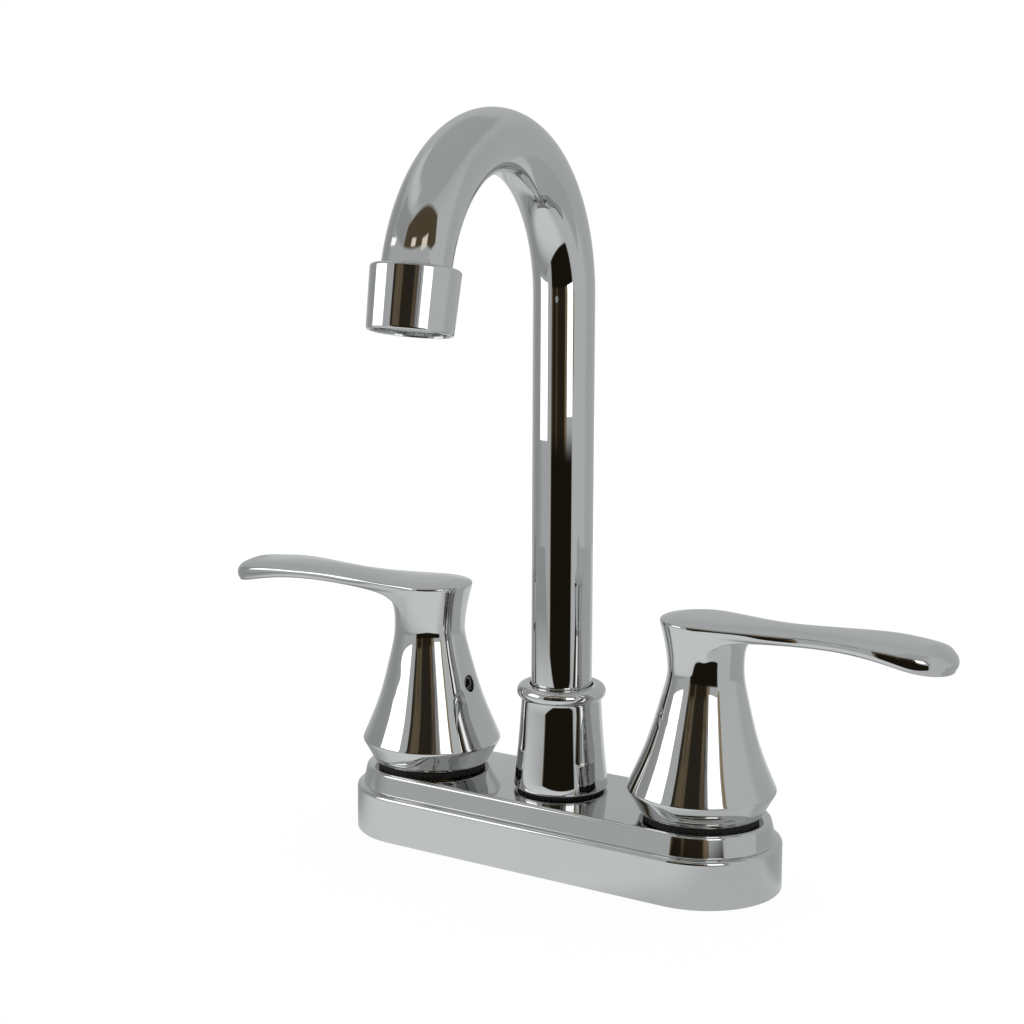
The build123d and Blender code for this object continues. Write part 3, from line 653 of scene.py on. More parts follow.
@dataclass
class Handle:
    """One lever handle: a flared hub, turned, that runs out into a crowned blade with a drooping tip."""

    side: str
    place: float
    turn: float
    columns: int = 72
    foot_radius: float = 19.2
    rim_radius: float = 13.6
    rim_height: float = 83.5
    dome_height: float = 85.2
    front: int = 15
    tip_columns: int = 5
    tip_centre: float = 67.4
    tip_radius: float = 12.6
    widest: float = 61.0
    neck_height: float = 67.0
    web_rise: float = 5.2
    web_reach: float = 7.2
    web_half_angle: float = 48.0
    web_fade: float = 40.0
    screw_height: float = 50.5
    screw_radius: float = 2.9
    screw_steps: Stations = ((0.3, 0.97), (0.6, 0.96), (6.0, 0.96))
    flare: Stations = (
        (19.2, 23.3), (19.42, 23.5), (20.85, 26.3), (22.1, 28.4), (22.7, 29.45), (23.03, 30.05), (23.1, 30.6))
    hub: tuple[tuple[float, float, float], ...] = (
        (31.2, 22.85, 0.0), (34.0, 21.65, 0.0), (38.0, 19.95, 0.05), (42.0, 18.3, 0.12), (45.5, 17.1, 0.2),
        (48.3, 16.25, 0.28), (50.5, 15.6, 0.36), (52.7, 15.0, 0.42), (56.0, 14.15, 0.52), (60.0, 13.1, 0.65),
        (63.7, 12.2, 0.78), (67.0, 11.7, 0.85),
    )
    cavity: Stations = (
        (18.95, 23.3), (17.55, 23.3), (17.35, 23.5), (17.35, 31.0), (13.4, 42.9), (13.2, 43.0), (6.0, 43.0),
        (4.3, 43.0), (4.2, 43.2), (4.2, 60.0),
    )
    # Rings from the neck to the lever's edge: shares of the fillet and of the underside that are passed.
    web_steps: Stations = (
        (0.0, 0.0), (0.25, 0.0), (0.5, 0.0), (0.75, 0.0), (1.0, 0.0), (1.0, 0.12), (1.0, 0.3), (1.0, 0.5),
        (1.0, 0.7), (1.0, 0.88), (1.0, 1.0))
    # Rings round the lever's edge: inset, lift, more inset at the nose, and whether the upper edge carries it.
    edge_rings: tuple[tuple[float, float, float, bool], ...] = (
        (0.35, 0.3, 1.1, False), (0.0, 0.95, 0.3, False), (0.0, -0.7, 0.3, True), (0.22, -0.18, 1.0, True))
    top_insets: tuple[float, ...] = (0.75, 1.6, 3.6, 6.2)

    def __post_init__(self) -> None:
        """Draws the curves of the hub and of the lever: half width, crown line, edges."""
        self.mean = smooth_curve(tuple((level, radius) for level, radius, _ in self.hub))
        self.lean = smooth_curve(tuple((level, offset) for level, _, offset in self.hub))
        self.start = self.rim_radius * cos(2 * pi * self.front / self.columns)
        self.half_width = smooth_curve(
            ((3.52, 13.2), (8.0, 12.6), (12.0, 11.9), (16.0, 11.1), (20.0, 10.3), (25.0, 9.5), (30.0, 9.15),
             (36.0, 9.25), (42.0, 9.85), (50.0, 11.4), (56.0, 12.4), (61.0, 12.8), (67.4, 12.6)))
        self.crown = smooth_curve(
            ((0.0, 85.2), (14.0, 84.9), (26.0, 84.88), (38.0, 85.35), (50.0, 85.75), (60.0, 85.85), (68.0, 85.25),
             (74.0, 84.3), (80.0, 81.3)))
        self.crown_drop = smooth_curve(
            ((0.0, 1.7), (14.0, 1.75), (26.0, 1.85), (38.0, 1.9), (50.0, 2.1), (60.0, 2.35), (68.0, 2.7), (80.0, 3.2)))
        self.edge_low = smooth_curve(
            ((13.0, 80.35), (20.0, 80.25), (26.0, 80.25), (38.0, 80.7), (48.0, 80.98), (54.0, 80.75), (60.0, 80.1),
             (68.0, 78.35), (74.0, 77.2), (80.0, 76.4)))

    def _angle(self, column: int) -> float:
        """Angle of a column from the lever's direction, between -pi and pi."""
        turned = column if column <= self.columns // 2 else column - self.columns
        return 2 * pi * turned / self.columns

    def _target(self, column: int, inset: float = 0.0) -> tuple[float, float]:
        """A column's point on the lever's outline, seen from above.

        Args:
            column: Number of the column, 0 on the lever's centre line.
            inset: How far inside the outline.

        Returns:
            Distance along the lever and across it.
        """
        angle = self._angle(column)
        number = round(abs(angle) / (2 * pi) * self.columns)
        flip = 1.0 if angle >= 0 else -1.0
        if number > self.front:
            radius = self.rim_radius - inset
            return radius * cos(angle), radius * sin(angle)
        if number <= self.tip_columns:
            swing = pi / 2 * number / self.tip_columns
            radius = self.tip_radius - inset
            return self.tip_centre + radius * cos(swing), flip * radius * sin(swing)
        share = (number - self.tip_columns) / (self.front - self.tip_columns)
        along = blend(self.tip_centre, self.start, share)
        slope = (self.half_width(along + 0.5) - self.half_width(along - 0.5))
        length = sqrt(1 + slope * slope)
        return along + inset * slope / length, flip * (self.half_width(along) - inset / length)

    def _width(self, along: float) -> float:
        """Half width of the lever's outline.

        Args:
            along: Distance along the lever.

        Returns:
            The half width, and the rim's or the tip's radius past the blade's ends.
        """
        if along <= self.start:
            return self.rim_radius
        return self.half_width(along) if along < self.tip_centre else self.tip_radius

    def _top(self, along: float, across: float) -> float:
        """Height of the lever's upper face.

        Args:
            along: Distance along the lever.
            across: Distance from its centre line.

        Returns:
            The height.
        """
        if along < 0:
            reach = (along * along + across * across) / self.rim_radius**2
            return self.dome_height - (self.dome_height - self.rim_height) * reach
        width = self.half_width(min(along, self.widest)) if along > self.start else self.rim_radius
        return self.crown(along) - self.crown_drop(along) * (across / width) ** 2

    def _under(self, along: float, share: float) -> float:
        """Height of the lever's underside at a share of its half width."""
        return self.edge_low(along) - 0.35 * (1 - share * share)

    def _radius(self, angle: float, height: float) -> float:
        """Radius of the hub at an angle from the lever and a height."""
        return self.mean(height) + self.lean(height) * cos(angle)

    def _circle(self, height: float, radius: float | None = None) -> list[Vector]:
        """A level ring.

        Args:
            height: Its height.
            radius: Its radius, or none for the hub's own.

        Returns:
            One point per column.
        """
        ring = []
        for number in range(self.columns):
            angle = self._angle(number)
            reach = self._radius(angle, height) if radius is None else radius
            ring.append(Vector((reach * cos(angle), reach * sin(angle), height)))
        return ring

    def _front(self, number: int) -> float:
        """How far a column belongs to the web: 1 under the lever, 0 at the hub's back."""
        return 1 - ease((abs(self._angle(number)) - radians(self.web_half_angle)) / radians(self.web_fade))

    def _nose(self, number: int) -> float:
        """How far a column belongs to the lever's tip, 0 to 1."""
        return ease((self._target(number)[0] - self.tip_centre) / self.tip_radius)

    def _flare(self, number: int, share: float) -> Vector:
        """A point on the flare from the neck to the rim at the back of the hub.

        Args:
            number: Number of the column.
            share: Share of the way up.

        Returns:
            The point.
        """
        angle = self._angle(number)
        height = blend(self.neck_height, self.rim_height - 0.75, share)
        radius = blend(self._radius(angle, self.neck_height), self.rim_radius, share**1.75)
        return Vector((radius * cos(angle), radius * sin(angle), height))

    def _web(self, column: int, bend: float, run: float) -> Vector:
        """A point on the way from the neck to the lever's lower edge.

        Args:
            column: Number of the column.
            bend: Share of the fillet under the lever that is passed, 0 to 1.
            run: Share of the underside that is passed, 0 to 1.

        Returns:
            The point.
        """
        angle = self._angle(column)
        start = self._radius(angle, self.neck_height)
        begin = (start * cos(angle), start * sin(angle))
        end = self._target(column, 1.0)
        ratios = [across / self._width(along) for along, across in (begin, end)]
        reach = min(self.web_reach / max(hypot(end[0] - begin[0], end[1] - begin[1]), 0.1), 0.62)

        def spot(share: float) -> Triple:
            """Plan place and half-width share at a share of the whole way.

            Args:
                share: The share.

            Returns:
                Distance along and across the lever, and share of its half width.
            """
            along = blend(begin[0], end[0], share)
            ratio = blend(*ratios, share)
            return along, ratio * self._width(along), ratio

        if run > 0:
            along, across, ratio = spot(blend(reach, 1.0, run))
            return Vector((along, across, self._under(along, min(abs(ratio), 1.0))))
        turned = pi / 2 * bend
        along, across, ratio = spot(reach * (1 - cos(turned)))
        top = self._under(spot(reach)[0], min(abs(ratio), 1.0))
        return Vector((along, across, blend(self.neck_height + self.web_rise, top, sin(turned))))

    def _loops(self) -> list[list[Vector]]:
        """All rings of the outer surface, from the foot to the middle of the top.

        Returns:
            One list of points per ring, one point per column.
        """
        numbers = range(self.columns)
        loops = [self._circle(height, radius) for radius, height in self.flare]
        loops += [self._circle(height) for height, _, _ in self.hub]
        count = len(self.web_steps) + 2
        for index, (bend, run) in enumerate(self.web_steps):
            loops.append([self._flare(n, (index + 1) / count).lerp(self._web(n, bend, run), self._front(n))
                          for n in numbers])
        for inset, lift, more, upper in self.edge_rings:
            ring = []
            for number in numbers:
                nose = self._nose(number)
                along, across = self._target(number, inset + more * nose)
                level = self._top(*self._target(number, 0.7)) if upper else self.edge_low(max(along, 13.0))
                point = Vector((along, across, level + lift * (1 + nose)))
                if not upper:
                    back = self._flare(number, (count - 1 + 0.5 * (lift > 0.5)) / count)
                    point = back.lerp(point, self._front(number))
                ring.append(point)
            loops.append(ring)
        for inset in self.top_insets:
            places = [self._target(n, inset + 1.2 * self._nose(n)) for n in numbers]
            loops.append([Vector((along, across, self._top(along, across))) for along, across in places])
        return loops

    def _grow(self, shape: Shape, loop: Loop, points: Sequence[Vector]) -> Loop:
        """Extrudes a ring and moves its copy to new points.

        Args:
            shape: The handle.
            loop: The last ring, in order of the columns.
            points: Where the copy goes.

        Returns:
            The new ring, in the same order.
        """
        fresh = shape.extrude([shape.bm.edges.get(pair) for pair in zip(loop, loop[1:] + loop[:1])])[1]
        ring = []
        for corner, point in zip(loop, points):
            copy = next(edge.other_vert(corner) for edge in corner.link_edges if edge.other_vert(corner) in fresh)
            copy.co = point
            ring.append(copy)
        return ring

    def build(self) -> None:
        """Models the handle as a cage for a subdivision surface, and dresses it."""
        shape = Shape()
        loops = self._loops()
        made = bmesh.ops.create_circle(shape.bm, cap_ends=False, segments=self.columns, radius=self.foot_radius)
        first = sorted(made["verts"], key=lambda corner: self._column(corner.co))
        for corner, point in zip(first, loops[0]):
            corner.co = point
        ring = first
        for points in loops[1:]:
            ring = self._grow(shape, ring, points)
        self._cap(shape, ring)
        ring = first
        for radius, height in self.cavity:
            ring = self._grow(shape, ring, self._circle(height, radius))
        bmesh.ops.contextual_create(shape.bm, geom=ring)
        self._screw_hole(shape)
        bmesh.ops.recalc_face_normals(shape.bm, faces=shape.bm.faces)
        shape.move(Matrix.Translation((self.place, 0, 0)) @ Matrix.Rotation(radians(self.turn), 4, "Z"))
        shape.finish(Piece(f"{self.side}_lever_handle", f"{self.side}_lever", CHROME, (f"{self.side}_handle",)),
                     sharp=180, subdivide=2, weighted=False)

    def _column(self, place: Vector) -> int:
        """The column that a point of the first ring belongs to."""
        turned = Vector((1, 0)).angle_signed(Vector((place.x, place.y)), 0.0)
        return round(-turned / (2 * pi) * self.columns) % self.columns

    def _cap(self, shape: Shape, ring: Loop) -> None:
        """Closes the top with a ladder of faces across the lever.

        Args:
            shape: The handle.
            ring: The innermost ring, in order of the columns.
        """
        for index in range(self.columns // 2):
            corners = (ring[index], ring[index + 1], ring[-index - 1], ring[-index])
            shape.bm.faces.new(list(dict.fromkeys(corners)))

    def _screw_hole(self, shape: Shape) -> None:
        """Opens the set screw's hole opposite the lever, with a rim that the subdivision keeps round.

        Args:
            shape: The handle.
        """
        middle = self.screw_height

        def bearing(corner: bmesh.types.BMVert) -> float:
            """Angle of a corner round the hole's axis."""
            return atan2(corner.co.z - middle, corner.co.y)

        outside = [face for face in shape.bm.faces
                   if all(c.co.x < -self.screw_radius and hypot(c.co.x, c.co.y) > 14.0 for c in face.verts)]
        gone = [face for face in outside
                if hypot(face.calc_center_median().y, face.calc_center_median().z - middle) < self.screw_radius]
        rim = {edge for face in gone for edge in face.edges
               if sum(linked in gone for linked in edge.link_faces) == 1}
        bmesh.ops.delete(shape.bm, geom=gone, context="FACES")
        edges = [edge for edge in rim if edge.is_valid]
        corners = sorted({corner for edge in edges for corner in edge.verts}, key=bearing)
        step = 2 * pi / len(corners)
        first = sum(bearing(corner) - number * step for number, corner in enumerate(corners)) / len(corners)
        for number, corner in enumerate(corners):
            turned = first + number * step
            across, height = self.screw_radius * cos(turned), middle + self.screw_radius * sin(turned)
            corner.co = (-sqrt(self._radius(pi, height) ** 2 - across**2), across, height)
        for shift, squeeze in self.screw_steps:
            edges, fresh = shape.extrude(edges)
            for corner in fresh:
                corner.co.x += shift
                corner.co.y *= squeeze
                corner.co.z = middle + (corner.co.z - middle) * squeeze


@dataclass
class Spout:
    """The bent tube with its collar and aerator."""

    swing: float = 5.9
    tube_radius: float = 9.75
    tube_wall: float = 1.0
    foot_height: float = 43.95
    bend_low: float = 180.0
    bend_radius: float = 47.7
    bend_angle: float = 168.6
    tail: float = 4.05
    collar_low: float = 22.5
    collar_height: float = 33.6
    collar_foot: float = 15.2
    collar_neck: float = 12.8
    collar_sag: float = 0.28
    bead_radius: float = 14.3
    bead_height: float = 4.8
    socket_radius: float = 11.5
    socket_top: float = 40.1
    shell_lap: float = 7.56
    shell_length: float = 18.0
    shell_top: float = 12.67
    shell_bottom: float = 12.07
    mouth_radius: float = 10.0
    thread_radius: float = 10.95
    screen_radius: float = 9.9
    screen_pitch: float = 0.85
    screen_wire: float = 0.22

    def _swung(self) -> Matrix:
        """Turns +X, the spout's own direction, to where the spout points."""
        return Matrix.Rotation(radians(self.swing - 90), 4, "Z")

    def _outlet(self) -> Matrix:
        """Places +Z along the flow, with its origin at the tube's end.

        Returns:
            The placement.
        """
        bend = radians(self.bend_angle)
        reach = self.bend_radius * (1 - cos(bend)) + self.tail * sin(bend)
        height = self.bend_low + self.bend_radius * sin(bend) + self.tail * cos(bend)
        return self._swung() @ Matrix.Translation((reach, 0, height)) @ Matrix.Rotation(bend, 4, "Y")

    def tube(self) -> None:
        """Models the tube: a circle run up the post, round the bend and down the tail."""
        shape = Shape()
        ring = bmesh.ops.create_circle(shape.bm, cap_ends=False, segments=96, radius=self.tube_radius,
                                       matrix=Matrix.Translation((0, 0, self.foot_height)))["verts"]
        edges = list({edge for corner in ring for edge in corner.link_edges})
        bend = radians(self.bend_angle)
        edges = shape.run(edges, Vector((0, 0, self.bend_low - self.foot_height)), 12)
        edges = shape.spin(edges, bend, 120, (self.bend_radius, 0, self.bend_low), (0, 1, 0))
        shape.run(edges, Vector((sin(bend), 0, cos(bend))) * self.tail, 1)
        shape.clean().move(self._swung())
        made = shape.finish(Piece("gooseneck", "spout", CHROME, ("spout_tube",)), weighted=False)
        wall = made.modifiers.new("wall", "SOLIDIFY")
        wall.thickness, wall.offset = self.tube_wall * MM, -1.0

    def collar(self) -> None:
        """Models the tapered collar with its bead."""
        low, top = self.collar_low, self.collar_low + self.collar_height
        neck_low = top - self.bead_height - 0.15
        half = self.bead_height / 2
        bore, foot = self.tube_radius + 0.35, self.collar_foot
        profile = [(bore, top - 0.35), (bore + 0.35, top)]
        profile += [(self.bead_radius - half + half * sin(radians(step)), top - half + half * cos(radians(step)))
                    for step in range(0, 151, 10)]
        profile += [(self.collar_neck + 0.12, neck_low + 0.45), (self.collar_neck, neck_low)]
        for step in range(1, 11):
            share = step / 10
            profile.append((blend(self.collar_neck, foot, share) - self.collar_sag * sin(pi * share),
                            blend(neck_low, low + 0.9, share)))
        profile += [(foot - 0.12, low + 0.4), (foot - 0.45, low + 0.1), (foot - 0.9, low),
                    (self.socket_radius, low), (self.socket_radius, self.socket_top), (bore, self.socket_top)]
        Shape().turn(profile, closed=True).finish(
            Piece("post_collar", "root", CHROME, ("spout_collar",)), sharp=50)

    def aerator(self) -> None:
        """Models the shell at the outlet and the woven screen in its mouth."""
        end, start = self.shell_length - self.shell_lap, -self.shell_lap
        lip = self.mouth_radius + 0.9
        profile = [
            (self.thread_radius, start), (self.shell_top, start), (self.shell_bottom, end), (lip, end),
            (lip, end - 0.45), (self.mouth_radius, end - 0.45), (self.mouth_radius, end - 1.0),
            (self.thread_radius, end - 1.0),
        ]
        shell = Shape().turn(profile, closed=True)
        shell.ring(self.shell_top, start, 0.9, 6).ring(self.shell_bottom, end, 0.8, 6).ring(lip, end, 0.18, 3)
        shell.move(self._outlet()).finish(Piece("outlet_shell", "spout", CHROME, ("aerator_shell",)))

        screen = Shape()
        count = int(2 * self.screen_radius / self.screen_pitch)
        bmesh.ops.create_grid(screen.bm, x_segments=count, y_segments=count, size=count * self.screen_pitch / 2)
        bmesh.ops.delete(screen.bm, context="VERTS", geom=[
            corner for corner in screen.bm.verts if hypot(corner.co.x, corner.co.y) > self.screen_radius])
        for corner in screen.bm.verts:
            weave = round(corner.co.x / self.screen_pitch * 2) + round(corner.co.y / self.screen_pitch * 2)
            corner.co.z = 0.08 if weave // 2 % 2 else -0.08
        bmesh.ops.wireframe(screen.bm, faces=screen.bm.faces, thickness=self.screen_wire, offset=0.0,
                            use_replace=True, use_boundary=True, use_even_offset=True)
        screen.move(self._outlet() @ Matrix.Translation((0, 0, end - 1.45)))
        screen.finish(Piece("outlet_screen", "spout", STEEL, ("aerator_screen",)), weighted=False)

    def build(self) -> None:
        """Builds the three parts."""
        self.tube()
        self.collar()
        self.aerator()


@dataclass
class Fastening:
    """What shows under the plate on one valve axis: ring, shank, washer and nut."""

    side: str
    place: float
    turn: float
    ring_radius: float = 17.9
    ring_hole: float = 16.9
    ring_low: float = 21.7
    ring_height: float = 1.3
    shank_radius: float = 10.6
    shank_length: float = 50.0
    bore_radius: float = 6.4
    thread_pitch: float = 1.814
    thread_depth: float = 0.9
    neck_radius: float = 8.5
    neck_low: float = 1.79
    neck_top: float = 6.7
    washer_hole: float = 10.9
    washer_radius: float = 19.0
    washer_low: float = -22.0
    washer_thickness: float = 2.0
    nut_flats: float = 32.0
    nut_thickness: float = 8.0
    nut_hole: float = 10.65

    def _dress(self, shape: Shape, name: str, finish: Finish, node: str, sharp: float) -> None:
        """Moves a piece from the middle to its valve axis and finishes it.

        Args:
            shape: The piece.
            name: Its name without the side.
            finish: Its finish.
            node: The solid that it stands for, without the side, or nothing.
            sharp: Edges that turn by more degrees than this stay crisp.
        """
        replaced = (f"{self.side}_{node}",) if node else ()
        shape.move(Matrix.Translation((self.place, 0, 0))).finish(
            Piece(f"{self.side}_{name}", "root", finish, replaced), sharp, weighted=bool(node))

    def ring(self) -> None:
        """Models the black ring that the handle glides over; its near-black finish also stands for painted shade in
        the gap under the hub.
        """
        low, top, soft = self.ring_low, self.ring_low + self.ring_height, 0.3
        profile = [(self.ring_hole, low), (self.ring_radius, low), (self.ring_radius, top - soft),
                   (self.ring_radius - soft, top), (self.ring_hole, top)]
        self._dress(Shape().turn(profile, closed=True), "black_ring", BLACK_PLASTIC, "glide_ring", 30)

    def shank(self) -> None:
        """Models the threaded shank: a wound thread on a turned core."""
        low, core, bore = -self.shank_length, self.shank_radius - self.thread_depth, self.bore_radius
        profile = [(bore, low), (core - 0.1, low), (core, low + 0.1), (core, self.neck_low),
                   (self.neck_radius, self.neck_low), (self.neck_radius, self.neck_top), (bore, self.neck_top)]
        self._dress(Shape().turn(profile, 96, closed=True), "shank_core", BRASS, "shank", 30)
        thread = Shape()
        turns = int((self.shank_length + 1.0) / self.thread_pitch)
        quarter = self.thread_pitch / 4
        edges = thread.outline([
            (core - 0.05, 0, 0.0), (self.shank_radius, 0, quarter * 1.8), (self.shank_radius, 0, quarter * 2.2),
            (core - 0.05, 0, quarter * 4)])
        thread.spin(edges, 2 * pi * turns, 48 * turns, climb=self.thread_pitch / 48)
        thread.clean().move(Matrix.Translation((0, 0, low + 0.2)))
        for corner in thread.bm.verts:
            limit = core + corner.co.z - low
            reach = hypot(corner.co.x, corner.co.y)
            if reach > limit > 0:
                corner.co.x *= limit / reach
                corner.co.y *= limit / reach
        self._dress(thread, "shank_thread", BRASS, "", 35)

    def nut(self) -> None:
        """Models the washer and the six-sided nut under the deck."""
        low, rim, soft = self.washer_low, self.washer_radius, 0.2
        top = low + self.washer_thickness
        profile = [(self.washer_hole, low), (rim - soft, low), (rim, low + soft), (rim, top - soft),
                   (rim - soft, top), (self.washer_hole, top)]
        self._dress(Shape().turn(profile, 96, closed=True), "flat_washer", STEEL, "deck_washer", 25)
        corner, bottom = self.nut_flats / sqrt(3), low - self.nut_thickness
        nut = Shape().turn([(self.nut_hole, low), (self.nut_hole, bottom), (corner, bottom), (corner, low)],
                           6, closed=True)
        nut.round(lambda co: hypot(co.x, co.y) > 15, 0.5, 2).move(Matrix.Rotation(radians(self.turn), 4, "Z"))
        self._dress(nut, "hex_nut", BRASS, "mounting_nut", 25)

    def build(self) -> None:
        """Builds the pieces on this axis."""
        self.ring()
        self.shank()
        self.nut()


# ---- Studio ----


def grey(tone: float) -> Colour:
    """A neutral colour."""
    return tone, tone, tone


def cool(tone: float) -> Colour:
    """The faintly green grey of the cloth."""
    return tone * 0.97, tone * 1.01, tone


def brown(tone: float) -> Colour:
    """The warm dark of the room behind the opening."""
    return tone * 1.3, tone, tone * 0.6


@dataclass(frozen=True)
class PaintedPatch:
    """A stretch of the studio between two compass directions, painted in one plain colour, with edges that fade."""

    start: float
    end: float
    soft: float
    colour: Colour


@dataclass
class Studio:
    """A pale tent with two light strips and a dark opening, a white table and the photograph's camera."""

    camera_place: Triple = (0.324212, -0.534071, 0.217818)
    yaw: float = 33.727
    pitch: float = 7.262
    roll: float = 0.084
    focal: float = 69.978
    shift: tuple[float, float] = (0.03306, -0.08131)
    floor_radius: float = 1.2
    table_front: float = 0.2
    table_turn: float = 31.3
    tent_radius: float = 0.55
    tent_height: float = 0.05
    strips: tuple[tuple[float, float, float, float], ...] = ((-62.5, -29.5, 0.09, 0.262), (44.0, 64.0, 0.102, 0.28))
    strip_distance: float = 0.35
    # Patches of one plain colour that the chrome mirrors: painted light and shade on the table near and far and on the
    # cloth, and plain tones in the room behind the opening and low in that room.
    near_table_light_and_shade: tuple[PaintedPatch, ...] = (
        PaintedPatch(-70.0, 70.0, 10.0, cool(0.85)), PaintedPatch(50.0, 100.0, 15.0, cool(0.65)),
        PaintedPatch(-120.0, -80.0, 10.0, cool(0.4)), PaintedPatch(100.0, 165.0, 5.0, cool(0.5)))
    far_table_light_and_shade: tuple[PaintedPatch, ...] = (PaintedPatch(-110.0, 25.0, 15.0, cool(0.4)), PaintedPatch(100.0, 165.0, 5.0, cool(0.5)))
    cloth_light_and_shade: tuple[PaintedPatch, ...] = (PaintedPatch(-105.0, -60.0, 15.0, cool(0.4)), PaintedPatch(65.0, 120.0, 8.0, cool(0.65)))
    room_tones: tuple[PaintedPatch, ...] = (
        PaintedPatch(-10.0, 5.0, 2.5, brown(0.13)), PaintedPatch(29.0, 36.0, 1.0, brown(0.12)), PaintedPatch(37.5, 45.0, 1.5, grey(0.4)))
    low_room_tones: tuple[PaintedPatch, ...] = (
        PaintedPatch(-20.0, -11.0, 3.0, brown(0.15)), PaintedPatch(3.0, 7.0, 2.0, brown(0.08)), PaintedPatch(36.0, 45.0, 3.0, brown(0.2)))

    def camera(self) -> None:
        """Sets up the camera, with its depth of field off."""
        data = bpy.data.cameras.new("camera")
        data.lens, data.sensor_width, data.sensor_fit = self.focal, 36.0, "HORIZONTAL"
        data.shift_x, data.shift_y = self.shift
        data.clip_start = 0.01
        eye = bpy.data.objects.new("camera", data)
        eye.matrix_world = (Matrix.Translation(self.camera_place) @ Matrix.Rotation(radians(self.yaw), 4, "Z")
                            @ Matrix.Rotation(radians(90 - self.pitch), 4, "X")
                            @ Matrix.Rotation(radians(self.roll), 4, "Z"))
        bpy.context.scene.collection.objects.link(eye)
        bpy.context.scene.camera = eye

    def _backdrop(self, name: str, shape: Shape, material: bpy.types.Material) -> None:
        """Turns a shape drawn in metres into an object of the studio.

        Args:
            name: The object's name.
            shape: The shape.
            material: Its material.
        """
        mesh = bpy.data.meshes.new(name)
        shape.bm.to_mesh(mesh)
        shape.bm.free()
        mesh.materials.append(material)
        made = bpy.data.objects.new(name, mesh)
        bpy.context.scene.collection.objects.link(made)

    def _rays(self, graph: Graph) -> tuple[Wire, Wire]:
        """Tells what kind of ray asks.

        Args:
            graph: The nodes.

        Returns:
            1 for the camera's own and passing rays, and 1 for mirrored rays.
        """
        eye = graph.add("ShaderNodeLightPath", output="Is Camera Ray")
        return eye.maximum(eye.beside("Is Transmission Ray")), eye.beside("Is Glossy Ray")

    def _glow(self, graph: Graph, colour: Any) -> Wire:
        """Adds an emission."""
        colour = colour if isinstance(colour, Wire) else (*colour, 1.0)
        return graph.add("ShaderNodeEmission", {}, {"Color": colour, "Strength": 1.0})

    def _close(self, graph: Graph, surface: Wire) -> None:
        """Ends a material with its shader."""
        graph.add("ShaderNodeOutputMaterial", {}, {"Surface": surface})

    def floor(self) -> None:
        """Lays the white table, which keeps the object's shadow. To mirrored rays it glows with painted light and
        shade, and its front edge shows in the chrome.
        """
        made, graph = new_material("white_sheet")
        seen, gloss = self._rays(graph)
        spot = graph.place()
        paper = graph.add("ShaderNodeBsdfDiffuse", {}, {
            "Color": graph.mix(graph.noise(spot, 300.0), grey(0.78), grey(0.8))})
        thin = graph.add("ShaderNodeBsdfDiffuse", {}, {"Color": (*grey(0.22), 1.0)})
        far = graph.vector("LENGTH", spot, output="Value")
        sheen = self._glow(graph, graph.mix(far.ramp(0.3, 0.55), grey(0.9), grey(1.0)))
        plain = graph.cover(seen, paper, graph.add("ShaderNodeAddShader", {}, {0: thin, 1: sheen}))
        turned = self._turned(graph, spot)
        # To mirrored rays the table glows in painted light and shade: lit in front, shaded to the right, darker to the
        # left rear and on the far left.
        mirrored = self._glow(graph, graph.mix(
            far.ramp(0.15, 0.4), self._paint_patches(turned, cool(0.75), *self.near_table_light_and_shade),
            self._paint_patches(turned, cool(0.65), *self.far_table_light_and_shade)))
        clear = graph.add("ShaderNodeBsdfTransparent")
        turn = radians(self.table_turn)
        ahead = graph.vector("DOT_PRODUCT", spot, (sin(turn), -cos(turn), 0.0), output="Value")
        edge = ahead.ramp(self.table_front - 0.006, self.table_front + 0.006)
        surface = graph.cover(gloss, plain, graph.cover(edge, mirrored, clear))
        back = graph.add("ShaderNodeNewGeometry", output="Backfacing")
        self._close(graph, graph.cover(back, surface, clear))
        sheet = Shape()
        bmesh.ops.create_circle(sheet.bm, cap_ends=True, segments=96, radius=self.floor_radius)
        self._backdrop("floor", sheet, made)

    def _turned(self, graph: Graph, spot: Wire) -> Wire:
        """Compass direction of a point in degrees: 0 towards the front, 90 towards the cold side."""
        across = graph.add("ShaderNodeSeparateXYZ", {}, {0: spot})
        return across.arctan2(-across.beside(1)).degrees()

    def strip_panels(self) -> None:
        """Hangs the two white light strips in front of the tent's cloth."""
        made, graph = new_material("light_strip")
        made.cycles.emission_sampling = "NONE"
        _, gloss = self._rays(graph)
        clear = graph.add("ShaderNodeBsdfTransparent")
        self._close(graph, graph.cover(gloss, clear, self._glow(graph, grey(2.2))))
        for number, (start, end, low, high) in enumerate(self.strips):
            strip = Shape()
            turn = radians(start)
            foot = Vector((sin(turn), -cos(turn), 0.0)) * self.strip_distance
            edges = strip.outline([foot + Vector((0, 0, level)) for level in (low, high)])
            strip.spin(edges, radians(end - start), 24)
            self._backdrop(f"light_strip_{number}", strip, made)

    def _paint_patches(self, turned: Wire, plain: Colour, *patches: PaintedPatch) -> Wire:
        """Paints patches of plain colour round the faucet, each over the ones before.

        Args:
            turned: Compass direction in degrees.
            plain: Colour where no patch is painted.
            patches: The painted patches.

        Returns:
            The colour.
        """
        shown: Any = plain
        for patch in patches:
            shown = turned.graph.mix(turned.band(patch.start, patch.end, patch.soft), shown, patch.colour)
        return shown

    def tent(self) -> None:
        """Hangs the tent: what it shows is painted by direction and height on a ball round the faucet."""
        made, graph = new_material("tent_cloth")
        made.cycles.emission_sampling = "NONE"
        seen, _ = self._rays(graph)
        spot = graph.place(centre=(0.0, 0.0, self.tent_height))
        way = graph.vector("NORMALIZE", spot)
        turned = self._turned(graph, way)
        height = graph.add("ShaderNodeSeparateXYZ", {}, {0: way}, 2).arcsine().degrees()
